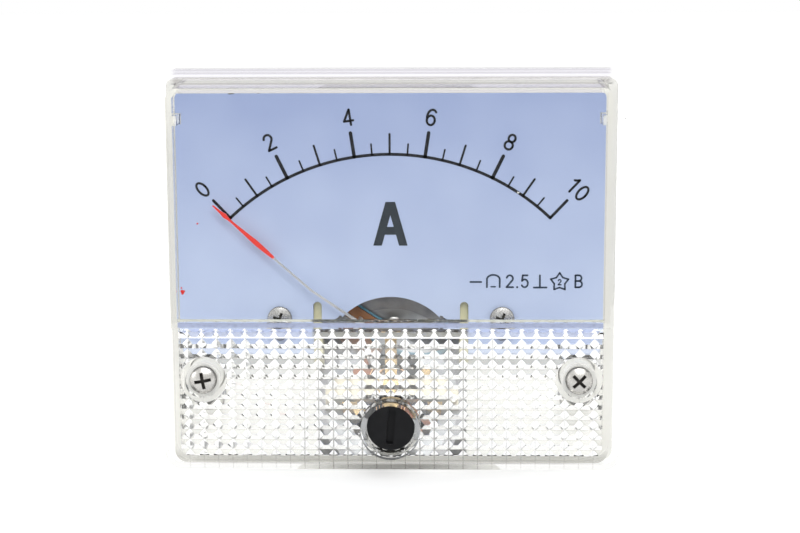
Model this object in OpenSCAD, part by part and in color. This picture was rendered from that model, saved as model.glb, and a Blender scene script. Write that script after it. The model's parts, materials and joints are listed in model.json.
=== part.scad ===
// Analog panel meter: a moving-coil movement behind a clear cover with a prismatic apron.
// The origin is the centre of the flange's rear face. X points right, Z up, and the dial faces -Y.

/* [Flange] */
// Width of the flange
flange_w = 64; // [62.5:0.1:68]
// Height of the flange
flange_h = 56; // [54.5:0.1:60]
// Corner radius of the flange
flange_r = 2.5; // [1.5:0.1:3.5]
// Wall of the cover's rim, which wraps the base's edge
skirt_wall = 1.2; // [1:0.1:1.6]
// Air between that rim and the base, and between its end and the panel
skirt_gap = 0.1; // [0.06:0.02:0.16]
// Thickness of the base's flange plate
flange_t = 2.5; // [2.2:0.1:3.2]

/* [Cover] */
// Thickness of the cover's lip
lip_t = 2; // [1.4:0.1:2.4]
// Width of the cover's front face
block_w = 58.4; // [58:0.1:60]
// Height of the cover's front face
block_h = 50.6; // [50:0.1:51.4]
// Height of the front face's centre above the flange's centre
block_lift = 0.7; // [0.4:0.1:1]
// Corner radius of the front face
block_r = 1.5; // [0.8:0.1:2.2]
// Growth of each side from the front face to the lip
block_draft = 0.65; // [0.3:0.05:0.8]
// Distance from the panel to the window's face
front_depth = 14; // [13.8:0.1:15]
// Thickness of the window
window_t = 1.5; // [1:0.1:1.8]
// Thickness of the cover's side walls
cover_wall = 0.8; // [0.7:0.05:1.1]
// Depth from the window's face back to the apron's face
apron_step = 1.7; // [1.5:0.1:1.9]
// Thickness of the apron
apron_t = 1.9; // [1.7:0.05:2.1]
// Height above the flange's centre of the ledge's upper side
ledge_top = -5.2; // [-5.5:0.1:-4.8]
// Thickness of the ledge between window and apron
ledge_t = 0.7; // [0.6:0.1:1.2]
// Height above the flange's centre of the keys that hold the dial, and of the pry notches
key_z = 21.7; // [19:0.1:22.5]
// Height of each key on the cover's side walls
key_h = 1.3; // [0.8:0.05:1.8]
// Reach of each key into the dial's edge
key_reach = 0.8; // [0.5:0.05:1.2]
// Clearance between a key and its notch in the dial
key_gap = 0.1; // [0.05:0.01:0.2]
// Height of the pry notches in the lip's sides
pry_h = 1.1; // [0.8:0.05:1.6]
// Depth of the pry notches in the lip's sides
pry_depth = 0.35; // [0.2:0.05:0.5]

/* [Prisms] */
// Width of one prism
prism_w = 1.96; // [1.8:0.02:2.2]
// Height of one prism row
prism_row = 1.4; // [1.3:0.02:1.6]
// Height of the top row, which runs up under the ledge
prism_first = 1.9; // [1.4:0.05:2.2]
// Depth of the pits in the apron's back, whose slopes are the prisms
prism_depth = 0.72; // [0.6:0.02:0.8]
// Width of a pit's floor line
ridge_w = 0.56; // [0.4:0.02:0.8]
// Number of prism columns
prism_cols = 30; // [20:2:32]
// Number of prism rows
prism_rows = 13; // [8:1:14]

/* [Cover screws] */
// Distance of each cover screw from the side of the front face
cover_screw_inset = 3.8; // [3.6:0.05:4.4]
// Height of the cover screws above the flange's centre
cover_screw_z = -13.5; // [-14.5:0.1:-12.5]
// Radius of the cover screw's head
cover_head_r = 1.83; // [1.6:0.01:1.9]
// Height of the cover screw's head
cover_head_h = 1.35; // [1.1:0.05:1.5]
// Radius of the cover screw's shank
cover_shank_r = 1.2; // [1:0.05:1.3]
// Radius of the counterbore round the head
counterbore_r = 2.35; // [2.1:0.05:2.5]
// Thickness of the cover under the screw head
cover_seat_t = 0.6; // [0.4:0.05:0.8]
// Length of the cover screw below its head
cover_screw_l = 8; // [6.5:0.1:8.4]
// Radius of the posts that take the cover screws
cover_post_r = 2.4; // [2.1:0.05:2.6]

/* [Zero adjuster] */
// Distance of the adjuster below the movement's axis
adjuster_drop = 5.85; // [5.7:0.05:6]
// Radius of the adjuster's disc
adjuster_r = 3.25; // [3:0.05:3.5]
// Thickness of the adjuster's disc
adjuster_t = 1; // [0.8:0.05:1.2]
// Radial clearance round the adjuster's disc
adjuster_gap = 0.15; // [0.08:0.01:0.25]
// Wall of the collar round the adjuster
collar_wall = 0.65; // [0.5:0.05:0.75]
// Thickness of the collar's floor
collar_floor = 0.55; // [0.45:0.05:0.65]
// Radius of the adjuster's neck
neck_r = 1.6; // [1.3:0.05:1.7]
// Radius of the snap lip behind the neck
snap_r = 2; // [1.95:0.01:2.2]
// Thickness of the snap lip
snap_t = 0.4; // [0.3:0.05:0.45]
// Length of the screwdriver slot
slot_l = 4.7; // [4:0.1:5.4]
// Width of the screwdriver slot
slot_w = 1; // [0.7:0.05:1.2]
// Depth of the screwdriver slot
slot_depth = 0.7; // [0.4:0.05:0.75]
// Lean of the slot to the right of upright
slot_lean = 5.3; // [0:0.1:12]
// Offset of the eccentric pin from the adjuster's axis
eccentric = 0.65; // [0.5:0.01:0.7]
// Radius of the eccentric pin
eccentric_r = 0.4; // [0.3:0.02:0.45]

/* [Dial] */
// Thickness of the dial plate
dial_t = 0.5; // [0.3:0.05:0.6]
// Corner radius of the dial plate
dial_corner_r = 1.1; // [1:0.05:1.6]
// Distance from the panel to the dial's face
dial_depth = 8.9; // [8.8:0.05:9.1]
// Clearance between the dial's edge and the cover
dial_gap = 0.1; // [0.08:0.01:0.2]
// Height of the dial's lower edge below the flange's centre
dial_foot = 8.6; // [8.2:0.1:9.2]
// Half width of the opening below the dial's window edge
dial_gap_half = 10.5; // [10.2:0.05:10.8]
// Height of the opening's upper edge
dial_gap_top = -5.5; // [-5.7:0.05:-5.3]
// Radius of the arched cut-out
arch_r = 9.1; // [8.8:0.05:9.4]
// Height of the arch's centre above the movement's axis
arch_rise = 2.5; // [2.3:0.05:2.8]
// Radius of the flares at the feet of the arch
flare_r = 1; // [0.6:0.05:1.3]
// Width of the corner slots
dial_slot_w = 1.15; // [0.8:0.05:1.3]
// Height of the corner slots
dial_slot_h = 2.4; // [1.6:0.1:3]
// Distance of each dial screw from the centre line
dial_screw_x = 15.05; // [14.8:0.05:15.2]
// Height of the dial screws above the flange's centre
dial_screw_z = -5.4; // [-5.6:0.1:-5.2]
// Radius of the dial screw's head
dial_head_r = 1.65; // [1.4:0.05:1.8]
// Height of the dial screw's head
dial_head_h = 0.75; // [0.5:0.05:0.8]
// Radius of the dial screw's shank
dial_shank_r = 0.85; // [0.6:0.05:1]
// Length of the dial screw below its head
dial_screw_l = 3; // [2:0.1:3.2]
// Radius of the posts under the dial
dial_post_r = 2.2; // [1.9:0.05:2.3]

/* [Pointer] */
// Angle of the zero mark left of upright
zero_deg = 44; // [40:0.5:46]
// Reach of the pointer's tip from the axis
tip_reach = 33.2; // [31:0.1:34]
// Lag of the tip behind the zero mark
tip_lag = 0.8; // [0:0.1:1.2]
// Reach of the kink between the two straight parts
kink_reach = 22.85; // [20:0.1:25]
// Lead of the kink ahead of the zero mark
kink_lead = 0.6; // [0:0.1:2]
// Reach of the riser that lifts the pointer over the dial
riser_reach = 9.3; // [9.1:0.05:9.4]
// Lead of the riser ahead of the zero mark
riser_lead = 17; // [14:0.5:19]
// Thickness of the pointer's strip
pointer_t = 0.3; // [0.2:0.02:0.34]
// Width of the pointer's inner part
pointer_w = 0.42; // [0.3:0.02:0.5]
// Width of the pointer's tip
tip_w = 0.18; // [0.1:0.01:0.3]
// Distance from the panel to the pointer's front
pointer_depth = 10.1; // [10.05:0.01:10.15]

/* [Movement] */
// Distance of the movement's axis below the flange's centre
axis_drop = 14; // [13.8:0.05:14.1]
// Outer radius of the yoke ring
yoke_r = 9.3; // [9.2:0.02:9.4]
// Inner radius of the yoke ring
yoke_bore_r = 7; // [6.95:0.01:7.1]
// Length of the yoke ring
yoke_l = 12; // [11:0.1:13]
// Radius of the magnet core
core_r = 4.9; // [4.7:0.05:5]
// How far the core's ends stand inside the yoke's
core_inset = 0.5; // [0.3:0.05:0.8]
// Angle that each core spacer covers
spacer_deg = 30; // [24:1:36]
// Distance from the panel to the movement's front face
frame_depth = 5.5; // [5.4:0.05:5.6]
// Thickness of the frame's plate
frame_t = 3; // [2.8:0.05:3.1]
// Distance of each frame screw from the centre line
frame_screw_x = 20.2; // [19.9:0.1:20.4]
// Height of the frame screws above the flange's centre
frame_screw_z = -5; // [-5.3:0.1:-4.7]
// Radius of the frame screw's head
frame_head_r = 2.2; // [1.9:0.05:2.4]
// Height of the frame screw's head
frame_head_h = 1.5; // [1.2:0.05:1.7]
// Radius of the frame screw's shank
frame_shank_r = 1.2; // [1:0.05:1.3]
// Length of the frame screw below its head
frame_screw_l = 9; // [7:0.5:12]
// Radius of the frame's ears
frame_ear_r = 3.7; // [3.3:0.1:3.9]
// Width of the shoulders cut into the frame's top beside its middle
frame_notch_w = 3; // [2.4:0.1:3.2]
// Height of the frame's top edge in those shoulders
frame_notch_z = -5.8; // [-6.2:0.1:-5.4]
// Wall of the frame's sleeve round the yoke
sleeve_wall = 1.3; // [1:0.05:1.5]
// Length of the frame's sleeve behind its plate
sleeve_l = 6; // [4:0.5:7]

/* [Coil] */
// Width of the coil
coil_w = 3; // [2.6:0.05:3.1]
// Half length of the former's opening
former_half = 5.3; // [5.2:0.02:5.4]
// Thickness of the former's strip
former_t = 0.25; // [0.15:0.01:0.3]
// Height of the winding on the former
winding_t = 0.9; // [0.6:0.02:0.95]
// Height of the former's flanges above the winding
rim_t = 0.1; // [0.05:0.01:0.15]
// Thickness of each flange of the former
former_flange = 0.2; // [0.12:0.01:0.3]
// Thickness of the plates that carry the pivots
pivot_plate_t = 0.4; // [0.3:0.05:0.45]
// Thickness of the counterweights
weight_t = 1.1; // [0.6:0.02:1.2]
// Radius of the counterweight on the tail
tail_weight_r = 0.96; // [0.7:0.01:1.05]
// Radius of the counterweight on the leading side arm
lead_weight_r = 0.88; // [0.6:0.01:1]
// Radius of the counterweight on the lagging side arm
lag_weight_r = 0.74; // [0.6:0.01:1]
// Clearance between the counterweights and the hairspring
weight_gap = 0.1; // [0.05:0.01:0.15]

/* [Bearings] */
// Radius of the pivots' shafts
pivot_r = 0.28; // [0.2:0.01:0.32]
// Radius of the hairsprings' collets
collet_r = 0.7; // [0.5:0.02:0.8]
// Radius of the jewel screws
jewel_r = 1.1; // [1:0.02:1.15]
// Clearance between a pivot's tip and its jewel
jewel_gap = 0.05; // [0.03:0.01:0.08]
// Thickness of the bridges
bridge_t = 0.8; // [0.7:0.02:0.85]
// Width of the bridges
bridge_w = 3; // [2.6:0.05:3.1]
// Thickness of the bridges' feet
foot_t = 0.6; // [0.5:0.05:0.7]
// Thickness of the bridges' legs
leg_t = 0.7; // [0.6:0.05:0.75]
// Radius of the bridge screws' heads
foot_head_r = 0.65; // [0.55:0.01:0.67]
// Height of the bridge screws' heads
foot_head_h = 0.5; // [0.3:0.05:0.6]
// Radius of the bridge screws' shanks
foot_shank_r = 0.45; // [0.35:0.01:0.5]
// Length of the bridge screws below their heads
foot_screw_l = 3; // [2:0.1:3.5]
// Thickness of the jewel nuts
jewel_nut_t = 0.5; // [0.4:0.02:0.52]
// Width across the flats of the jewel nuts
jewel_nut_af = 3.4; // [3:0.1:3.6]
// Thickness of the hairsprings' strip
spring_t = 0.12; // [0.08:0.01:0.14]
// Width of the hairsprings' strip
spring_w = 0.3; // [0.2:0.02:0.32]
// Turns of each hairspring
spring_turns = 5; // [3:1:6]
// Outer radius of the hairsprings
spring_r = 4.3; // [4:0.05:4.4]
// Thickness of the zero lever
lever_t = 0.36; // [0.3:0.01:0.38]
// Width of the lever's arm
lever_w = 1.6; // [1.2:0.1:1.8]
// Reach of the lever's crosspiece above the axis
tee_reach = 8; // [7.5:0.1:8.2]
// Width of the lever's crosspiece
tee_w = 4.3; // [3:0.1:4.6]
// Height of the lever's crosspiece
tee_h = 0.6; // [0.4:0.05:0.8]
// Clearance round the moving lever
lever_gap = 0.02; // [0.01:0.005:0.03]
// Side clearance of the fork round the eccentric pin
fork_gap = 0.12; // [0.1:0.01:0.16]

/* [Base] */
// Radius of the barrel that passes through the panel
barrel_r = 25; // [24.9:0.1:25.3]
// Length of the barrel behind the panel
barrel_l = 28; // [26:0.5:34]
// Thickness of the barrel's wall
barrel_wall = 1.5; // [1.4:0.05:1.6]
// How far the barrel's front end is let into the flange's rear face
barrel_seat_t = 0.6; // [0.4:0.1:0.9]
// Height of the rim that centres the cover
rim_h = 1.8; // [1.2:0.1:2]
// Thickness of the rim that centres the cover
rim_w = 0.9; // [0.7:0.05:1.2]
// Clearance between the rim and the cover
rim_gap = 0.1; // [0.05:0.01:0.2]
// Radius of the bosses under the frame's ears
boss_r = 3; // [2.9:0.05:3.3]
// Spacing of the mounting studs across
stud_span_x = 50; // [49:0.1:52]
// Spacing of the mounting studs up and down
stud_span_z = 42; // [41.6:0.1:44]
// Radius of the mounting studs
stud_r = 1.5; // [1.25:0.05:1.75]
// Length of the mounting studs behind the flange
stud_l = 14; // [10:0.5:18]
// Radius of a mounting stud's head
stud_head_r = 2.6; // [2.4:0.05:2.9]
// Thickness of a mounting stud's head
stud_head_t = 0.8; // [0.6:0.05:1]

/* [Terminals] */
// Spacing of the terminals
terminal_span = 25; // [22:0.5:27]
// Radius of the terminal studs
terminal_r = 2; // [1.5:0.05:2.4]
// Length of the terminal studs behind the barrel
terminal_l = 15; // [12.5:0.5:18]
// Radius of a terminal stud's head
terminal_head_r = 3.6; // [3.2:0.1:4.2]
// Thickness of a terminal stud's head
terminal_head_t = 2; // [1.5:0.1:2.5]
// Radius of the bosses round the terminals
terminal_boss_r = 5; // [4.6:0.1:5.6]
// Height of the bosses round the terminals
terminal_boss_h = 2.3; // [1.5:0.1:3]
// Thickness of the shunt strip
shunt_t = 1; // [0.6:0.05:1.4]
// Width of the shunt strip
shunt_w = 5; // [4.5:0.1:7]
// Width across the flats of the terminal nuts
terminal_nut_af = 7; // [6.5:0.1:8]
// Thickness of the terminal nuts
terminal_nut_t = 3.2; // [2.4:0.1:3.4]
// Outer radius of the terminal washers
washer_r = 4.5; // [4:0.1:5]
// Thickness of the flat washers
washer_t = 0.8; // [0.5:0.05:1]
// Outer radius of the spring washers
spring_washer_r = 3.5; // [3.1:0.1:3.8]
// Thickness of the spring washers
spring_washer_t = 1; // [0.7:0.05:1.2]
// Width of the cut in the spring washers
spring_washer_cut = 0.8; // [0.5:0.1:1.2]

/* [Tag board] */
// Thickness of the insulating board
board_t = 0.8; // [0.5:0.05:1]
// Width of the insulating board
board_w = 3.8; // [3.4:0.1:4]
// Length of the insulating board
board_l = 5.5; // [4.5:0.1:6]
// Distance of the board's near end from the axis
board_near = 7.1; // [7.1:0.05:7.6]
// Sideways offset of the board's lower edge
board_side = 1.5; // [1.2:0.05:1.8]
// Radius of the leads
lead_r = 0.3; // [0.2:0.02:0.35]

/* [Hidden] */
$fn = 48;

// A small clearance for pieces that are pressed or screwed together
fit_gap = 0.04;
// How far a cutting shape runs past what it cuts
cut = 1;

// Depths along Y: the front is negative
front_y = -front_depth;
seam_y = -flange_t;
lip_y = seam_y - lip_t;
rim_y = seam_y - rim_h;
base_w = flange_w - 2 * (skirt_wall + skirt_gap);
base_h = flange_h - 2 * (skirt_wall + skirt_gap);
base_r = flange_r - skirt_wall - skirt_gap;
window_in_y = front_y + window_t;
apron_y = front_y + apron_step;
apron_in_y = apron_y + apron_t;
pit_y = apron_in_y - prism_depth;
dial_y = -dial_depth;
dial_back_y = dial_y + dial_t;
frame_y = -frame_depth;
frame_back_y = frame_y + frame_t;
yoke_back_y = frame_y + yoke_l;
floor_in_y = barrel_l - barrel_wall;
bore_r = barrel_r - barrel_wall;

// Heights
axis_z = -axis_drop;
adjuster_z = axis_z - adjuster_drop;
ledge_z = ledge_top - ledge_t;

// The cover screws stand just inside the front face's sides
cover_screw_x = block_w / 2 - cover_screw_inset;

// The adjuster and its collar
collar_bore_r = adjuster_r + adjuster_gap;
collar_r = collar_bore_r + collar_wall;
floor_y = apron_in_y - collar_floor;
disc_back_y = floor_y - fit_gap;
disc_y = disc_back_y - adjuster_t;
snap_y = apron_in_y + fit_gap;
snap_back_y = snap_y + snap_t;

// The stack of the bearings, from the coil outwards
loop_half = former_half + former_t + winding_t + rim_t;
coil_front_y = frame_y - (loop_half - former_half);
coil_back_y = yoke_back_y + (loop_half - former_half);
plate_y = coil_front_y - pivot_plate_t;
rear_plate_y = coil_back_y + pivot_plate_t;
arm_y = plate_y - pointer_t;
seat_t = 0.25;
collet_h = 0.4;
tip_l = 1.4;
spring_y = arm_y - 0.3;
rear_spring_y = rear_plate_y + 0.6;
jewel_y = spring_y - 0.65;
rear_jewel_y = rear_spring_y + 0.65;
bridge_y = jewel_y - 0.9;
rear_bridge_y = rear_jewel_y + 0.15;
lever_y = bridge_y - lever_gap - lever_t;
nut_y = lever_y - lever_gap - jewel_nut_t;
leg_x = yoke_bore_r + 0.1;

// The clear cavity behind the cover at the dial's depth
dial_share = (dial_y - front_y) / (lip_y - front_y);
dial_side = cover_wall + dial_gap - block_draft * dial_share;
dial_half = block_w / 2 - dial_side;

// A point at reach r and at a degrees clockwise from upright, seen from the front
function polar(r, a) = [r * sin(a), axis_z + r * cos(a)];

// Extrudes a front-view outline from y0 to y1
module slab(y0, y1) {
  translate([0, y1, 0]) rotate([90, 0, 0]) linear_extrude(height = y1 - y0) children();
}

// A cylinder along Y, from y0 to y1
module rod(r, y0, y1, x = 0, z = 0) {
  translate([x, y0, z]) rotate([-90, 0, 0]) cylinder(r = r, h = y1 - y0);
}

// Revolves a profile of [radius, y] points round an axis along Y
module turned(x, z) {
  translate([x, 0, z]) rotate([-90, 0, 0]) rotate_extrude() children();
}

// Puts its children at both sides of the centre line
module both_sides(x) {
  for (side = [-1, 1]) translate([side * x, 0, 0]) children();
}

module rounded(w, h, r) {
  square([w - 2 * r, h], center = true);
  square([w, h - 2 * r], center = true);
  for (x = [-1, 1], z = [-1, 1]) translate([x * (w / 2 - r), z * (h / 2 - r)]) circle(r);
}

// A rounded block that grows by g on every side from y0 back to y1
module drafted(w, h, r, y0, y1, g) {
  side = [[-w / 2, y0], [w / 2, y0], [w / 2 + g, y1], [-w / 2 - g, y1]];
  face = [[y0, -h / 2], [y0, h / 2], [y1, h / 2 + g], [y1, -h / 2 - g]];
  translate([0, 0, r - h / 2]) linear_extrude(height = h - 2 * r) polygon(side);
  translate([r - w / 2, 0, 0]) rotate([90, 0, 90]) linear_extrude(height = w - 2 * r) polygon(face);
  for (x = [-1, 1], z = [-1, 1])
    translate([x * (w / 2 - r), y0, z * (h / 2 - r)]) rotate([-90, 0, 0]) cylinder(r1 = r, r2 = r + g, h = y1 - y0);
}

// A hexagonal nut from y0 to y1 with a plain bore
module hex_nut(af, bore, y0, y1) {
  difference() {
    translate([0, y0, 0]) rotate([-90, 0, 0]) cylinder(r = af / 2 / cos(30), h = y1 - y0, $fn = 6);
    rod(bore, y0 - cut, y1 + cut);
  }
}

// A flat ring from y0 to y1
module washer(r, bore, y0, y1) {
  difference() {
    rod(r, y0, y1);
    rod(bore, y0 - cut, y1 + cut);
  }
}

// A pan head whose rim is at y and whose crown points to the front
module pan_head(r, h, y) {
  crown = h * 0.45;
  turned(0, 0) {
    polygon([[0, y], [r, y], [r, y - h + crown], [0, y - h + crown]]);
    intersection() {
      translate([0, y - h + (r * r + crown * crown) / (2 * crown)]) circle((r * r + crown * crown) / (2 * crown));
      translate([0, y - h - cut]) square([r, crown + cut]);
    }
  }
}

// A cross recess cut into a head whose top is at y
module cross_recess(l, w, depth, y, lean) {
  rotate([0, lean, 0]) {
    translate([-l / 2, y - cut, -w / 2]) cube([l, depth + cut, w]);
    translate([-w / 2, y - cut, -l / 2]) cube([w, depth + cut, l]);
  }
}

// Points across one column of pits: rim, flank, floor
function column_edge(i) =
  let (x = (i - prism_cols / 2) * prism_w, flank = (prism_w - ridge_w) / 2)
  [[x, apron_in_y], [x + flank, pit_y], [x + flank + ridge_w, pit_y]];

function row_z(i) = ledge_z - (i == 0 ? 0 : prism_first + (i - 1) * prism_row);
function row_edge(i) =
  [[apron_in_y, row_z(i)], [pit_y, (row_z(i) + row_z(i + 1)) / 2]];

apron_half = prism_cols * prism_w / 2;
apron_foot = row_z(prism_rows);

// The air in the pits: where the grooves down the apron's back meet the grooves across it
module prism_pits() {
  across = [for (i = [0:prism_cols - 1]) each column_edge(i)];
  down = [for (i = [0:prism_rows - 1]) each row_edge(i)];
  back_y = apron_in_y + cut;
  intersection() {
    translate([0, 0, -flange_h])
      linear_extrude(height = 2 * flange_h)
      polygon(concat(across, [[apron_half, apron_in_y], [apron_half, back_y], [-apron_half, back_y]]));
    translate([-flange_w, 0, 0]) rotate([90, 0, 90])
      linear_extrude(height = 2 * flange_w)
      polygon(concat(down, [[apron_in_y, apron_foot], [back_y, apron_foot], [back_y, ledge_z]]));
  }
}

// The space inside the cover: deep behind the window, shallower behind the apron
module cover_cavity() {
  in_w = block_w - 2 * cover_wall;
  in_h = block_h - 2 * cover_wall;
  in_r = max(block_r - cover_wall, 0.4);
  run = lip_y - front_y;
  slope = block_draft / run;
  intersection() {
    translate([0, 0, block_lift])
      drafted(in_w + 2 * slope * window_t, in_h + 2 * slope * window_t, in_r + slope * window_t,
              window_in_y, seam_y + cut, slope * (seam_y + cut - window_in_y));
    union() {
      translate([-flange_w, window_in_y - cut, ledge_top]) cube([2 * flange_w, front_depth, flange_h]);
      translate([-flange_w, apron_in_y, -flange_h]) cube([2 * flange_w, front_depth, flange_h + ledge_top + cut]);
      difference() {
        prism_pits();
        rod(collar_r, front_y, seam_y, 0, adjuster_z);
        both_sides(cover_screw_x) rod(counterbore_r + cover_wall, front_y, seam_y, 0, cover_screw_z);
      }
    }
  }
}

module front_cover() {
  color("azure", 0.35)
    difference() {
      union() {
        slab(lip_y, -skirt_gap) rounded(flange_w, flange_h, flange_r);
        intersection() {
          translate([0, 0, block_lift]) drafted(block_w, block_h, block_r, front_y, lip_y, block_draft);
          union() {
            translate([-flange_w, front_y - cut, ledge_z]) cube([2 * flange_w, front_depth, flange_h]);
            translate([-flange_w, apron_y, -flange_h]) cube([2 * flange_w, front_depth, flange_h + ledge_z + cut]);
          }
        }
        rod(collar_r, front_y, apron_in_y, 0, adjuster_z);
      }
      difference() {
        cover_cavity();
        both_sides(dial_half - key_reach + key_gap + block_w / 2)
          translate([-block_w / 2, window_in_y, key_z - key_h / 2]) cube([block_w, rim_y - window_in_y - key_gap, key_h]);
      }
      slab(seam_y, cut) rounded(base_w + 2 * skirt_gap, base_h + 2 * skirt_gap, base_r + skirt_gap);
      both_sides(flange_w / 2)
        translate([-pry_depth, lip_y - cut, key_z - pry_h / 2]) cube([2 * pry_depth, lip_t + cut, pry_h]);
      rod(collar_bore_r, front_y - cut, floor_y, 0, adjuster_z);
      rod(neck_r + adjuster_gap, front_y, apron_in_y + cut, 0, adjuster_z);
      both_sides(cover_screw_x) {
        rod(counterbore_r, front_y - cut, apron_in_y - cover_seat_t, 0, cover_screw_z);
        rod(cover_shank_r + fit_gap, front_y, apron_in_y + cut, 0, cover_screw_z);
      }
    }
}

module cover_screws() {
  seat_y = apron_in_y - cover_seat_t;
  color("silver")
    for (side = [-1, 1])
      translate([side * cover_screw_x, 0, cover_screw_z]) {
        difference() {
          pan_head(cover_head_r, cover_head_h, seat_y);
          cross_recess(cover_head_r * 1.25, 0.45, 0.8, seat_y - cover_head_h, side < 0 ? -10 : 45);
        }
        rod(cover_shank_r, seat_y, seat_y + cover_screw_l);
      }
}

module zero_adjuster() {
  color("#151515")
    union() {
      difference() {
        rod(adjuster_r, disc_y, disc_back_y, 0, adjuster_z);
        translate([0, disc_y - cut, adjuster_z]) rotate([0, slot_lean, 0])
          translate([-slot_w / 2, 0, -slot_l / 2]) cube([slot_w, slot_depth + cut, slot_l]);
      }
      rod(neck_r, disc_back_y, snap_y, 0, adjuster_z);
      rod(snap_r, snap_y, snap_back_y, 0, adjuster_z);
      rod(eccentric_r, snap_back_y, lever_y + lever_t + 0.1, 0, adjuster_z + eccentric);
    }
}

// The bosses under the frame's ears, from y0 to y1, cut off by the bore's wall
module frame_bosses(y0, y1) {
  intersection() {
    both_sides(frame_screw_x) rod(boss_r, y0, y1, 0, frame_screw_z);
    rod(bore_r + barrel_wall / 3, y0 - cut, y1 + cut);
  }
}

// The holes for the frame screws
module frame_screw_holes() {
  both_sides(frame_screw_x)
    rod(frame_shank_r + fit_gap, frame_back_y - cut, frame_y + frame_screw_l + 0.5, 0, frame_screw_z);
}

// The slanted seat of the barrel's front end, which reaches the barrel's full size at the panel
module barrel_seat(y1) {
  translate([0, y1, 0]) rotate([90, 0, 0])
    cylinder(r1 = barrel_r + y1, r2 = barrel_r - barrel_seat_t, h = y1 + barrel_seat_t);
}

// The moulding in front of the panel. The barrel starts in a shallow seat in its rear face
module base_housing() {
  in_w = block_w + 2 * (block_draft - cover_wall - rim_gap);
  in_h = block_h + 2 * (block_draft - cover_wall - rim_gap);
  post_foot_y = apron_in_y - cover_seat_t + cover_screw_l + 0.2;
  color("ivory")
    difference() {
      union() {
        difference() {
          union() {
            slab(seam_y, 0) rounded(base_w, base_h, base_r);
            translate([0, 0, block_lift]) slab(rim_y, seam_y)
              difference() {
                rounded(in_w, in_h, 1);
                rounded(in_w - 2 * rim_w, in_h - 2 * rim_w, 0.5);
              }
          }
          rod(bore_r, rim_y - cut, cut);
          barrel_seat(cut);
        }
        both_sides(cover_screw_x) rod(cover_post_r, apron_in_y, seam_y, 0, cover_screw_z);
        frame_bosses(frame_back_y, -barrel_seat_t);
      }
      both_sides(cover_screw_x)
        rod(cover_shank_r + fit_gap, apron_in_y - cut, post_foot_y, 0, cover_screw_z);
      frame_screw_holes();
      for (x = [-1, 1], z = [-1, 1]) {
        rod(stud_r + 0.3 + fit_gap, seam_y - cut, cut, x * stud_span_x / 2, z * stud_span_z / 2);
        rod(stud_head_r + fit_gap, seam_y - cut, seam_y + stud_head_t, x * stud_span_x / 2, z * stud_span_z / 2);
      }
    }
}

// The moulding's round part behind the panel
module base_barrel() {
  color("ivory")
    difference() {
      union() {
        difference() {
          union() {
            barrel_seat(0);
            rod(barrel_r, 0, barrel_l);
          }
          rod(bore_r, -barrel_seat_t - cut, floor_in_y);
        }
        frame_bosses(-barrel_seat_t, floor_in_y + cut / 2);
        both_sides(terminal_span / 2)
          rod(terminal_boss_r, floor_in_y - terminal_boss_h, floor_in_y + cut / 2);
      }
      frame_screw_holes();
      both_sides(terminal_span / 2) rod(terminal_r + fit_gap, floor_in_y - terminal_boss_h - cut, barrel_l + cut);
    }
}

module dial_plate() {
  top = block_lift + block_h / 2 - dial_side;
  arch_z = axis_z + arch_rise;
  foot = sqrt(arch_r * arch_r - pow(dial_gap_top - arch_z, 2));
  color("lightsteelblue")
    difference() {
      slab(dial_y, dial_back_y)
        difference() {
          translate([0, (top - dial_foot) / 2]) rounded(2 * dial_half, top + dial_foot, dial_corner_r);
          translate([-dial_gap_half, -flange_h]) square([2 * dial_gap_half, flange_h + dial_gap_top]);
          translate([0, arch_z]) circle(arch_r);
          for (side = [-1, 1]) {
            translate([side * dial_half - key_reach, key_z - key_h / 2 - key_gap])
              square([2 * key_reach, key_h + 2 * key_gap]);
            translate([side * (dial_gap_half - dial_slot_w / 2), dial_gap_top + dial_slot_h - dial_slot_w / 2]) {
              circle(dial_slot_w / 2);
              translate([-dial_slot_w / 2, -dial_slot_h]) square([dial_slot_w, dial_slot_h]);
            }
            difference() {
              translate([side * foot - (side < 0 ? flare_r : 0.2), dial_gap_top - 0.1])
                square([flare_r + 0.2, flare_r * 0.6]);
              translate([side * (foot + flare_r), dial_gap_top + flare_r]) circle(flare_r);
            }
          }
        }
      both_sides(dial_screw_x) rod(dial_shank_r + fit_gap, dial_y - cut, dial_back_y + cut, 0, dial_screw_z);
    }
}

module dial_screws() {
  color("silver")
    both_sides(dial_screw_x)
      translate([0, 0, dial_screw_z]) {
        difference() {
          pan_head(dial_head_r, dial_head_h, dial_y);
          cross_recess(dial_head_r * 1.1, 0.35, 0.4, dial_y - dial_head_h, 20);
        }
        rod(dial_shank_r, dial_y, dial_y + dial_screw_l);
      }
}

// A strip between two front-view points, with its own width at each end
module taper(a, b, wa, wb) {
  d = (b - a) / norm(b - a);
  n = [d[1], -d[0]];
  polygon([a + n * wa / 2, b + n * wb / 2, b - n * wb / 2, a - n * wa / 2]);
}

module pointer() {
  front = -pointer_depth;
  riser = polar(riser_reach, riser_lead - zero_deg);
  kink = polar(kink_reach, kink_lead - zero_deg);
  tip = polar(tip_reach, -tip_lag - zero_deg);
  color("gainsboro")
    union() {
      difference() {
        slab(arm_y, plate_y) {
          translate([0, axis_z]) circle(1.5);
          taper([0, axis_z], riser, 1.1, 0.6);
          translate(riser) circle(0.3);
        }
        rod(0.9, arm_y - cut, plate_y + cut, 0, axis_z);
      }
      rod(0.25, front, arm_y, riser[0], riser[1]);
      slab(front, front + pointer_t) {
        translate(riser) circle(0.3);
        taper(riser, kink, pointer_w, pointer_w);
        translate(kink) circle(pointer_w / 2);
        taper(kink, tip, pointer_w, tip_w);
      }
    }
}

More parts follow.
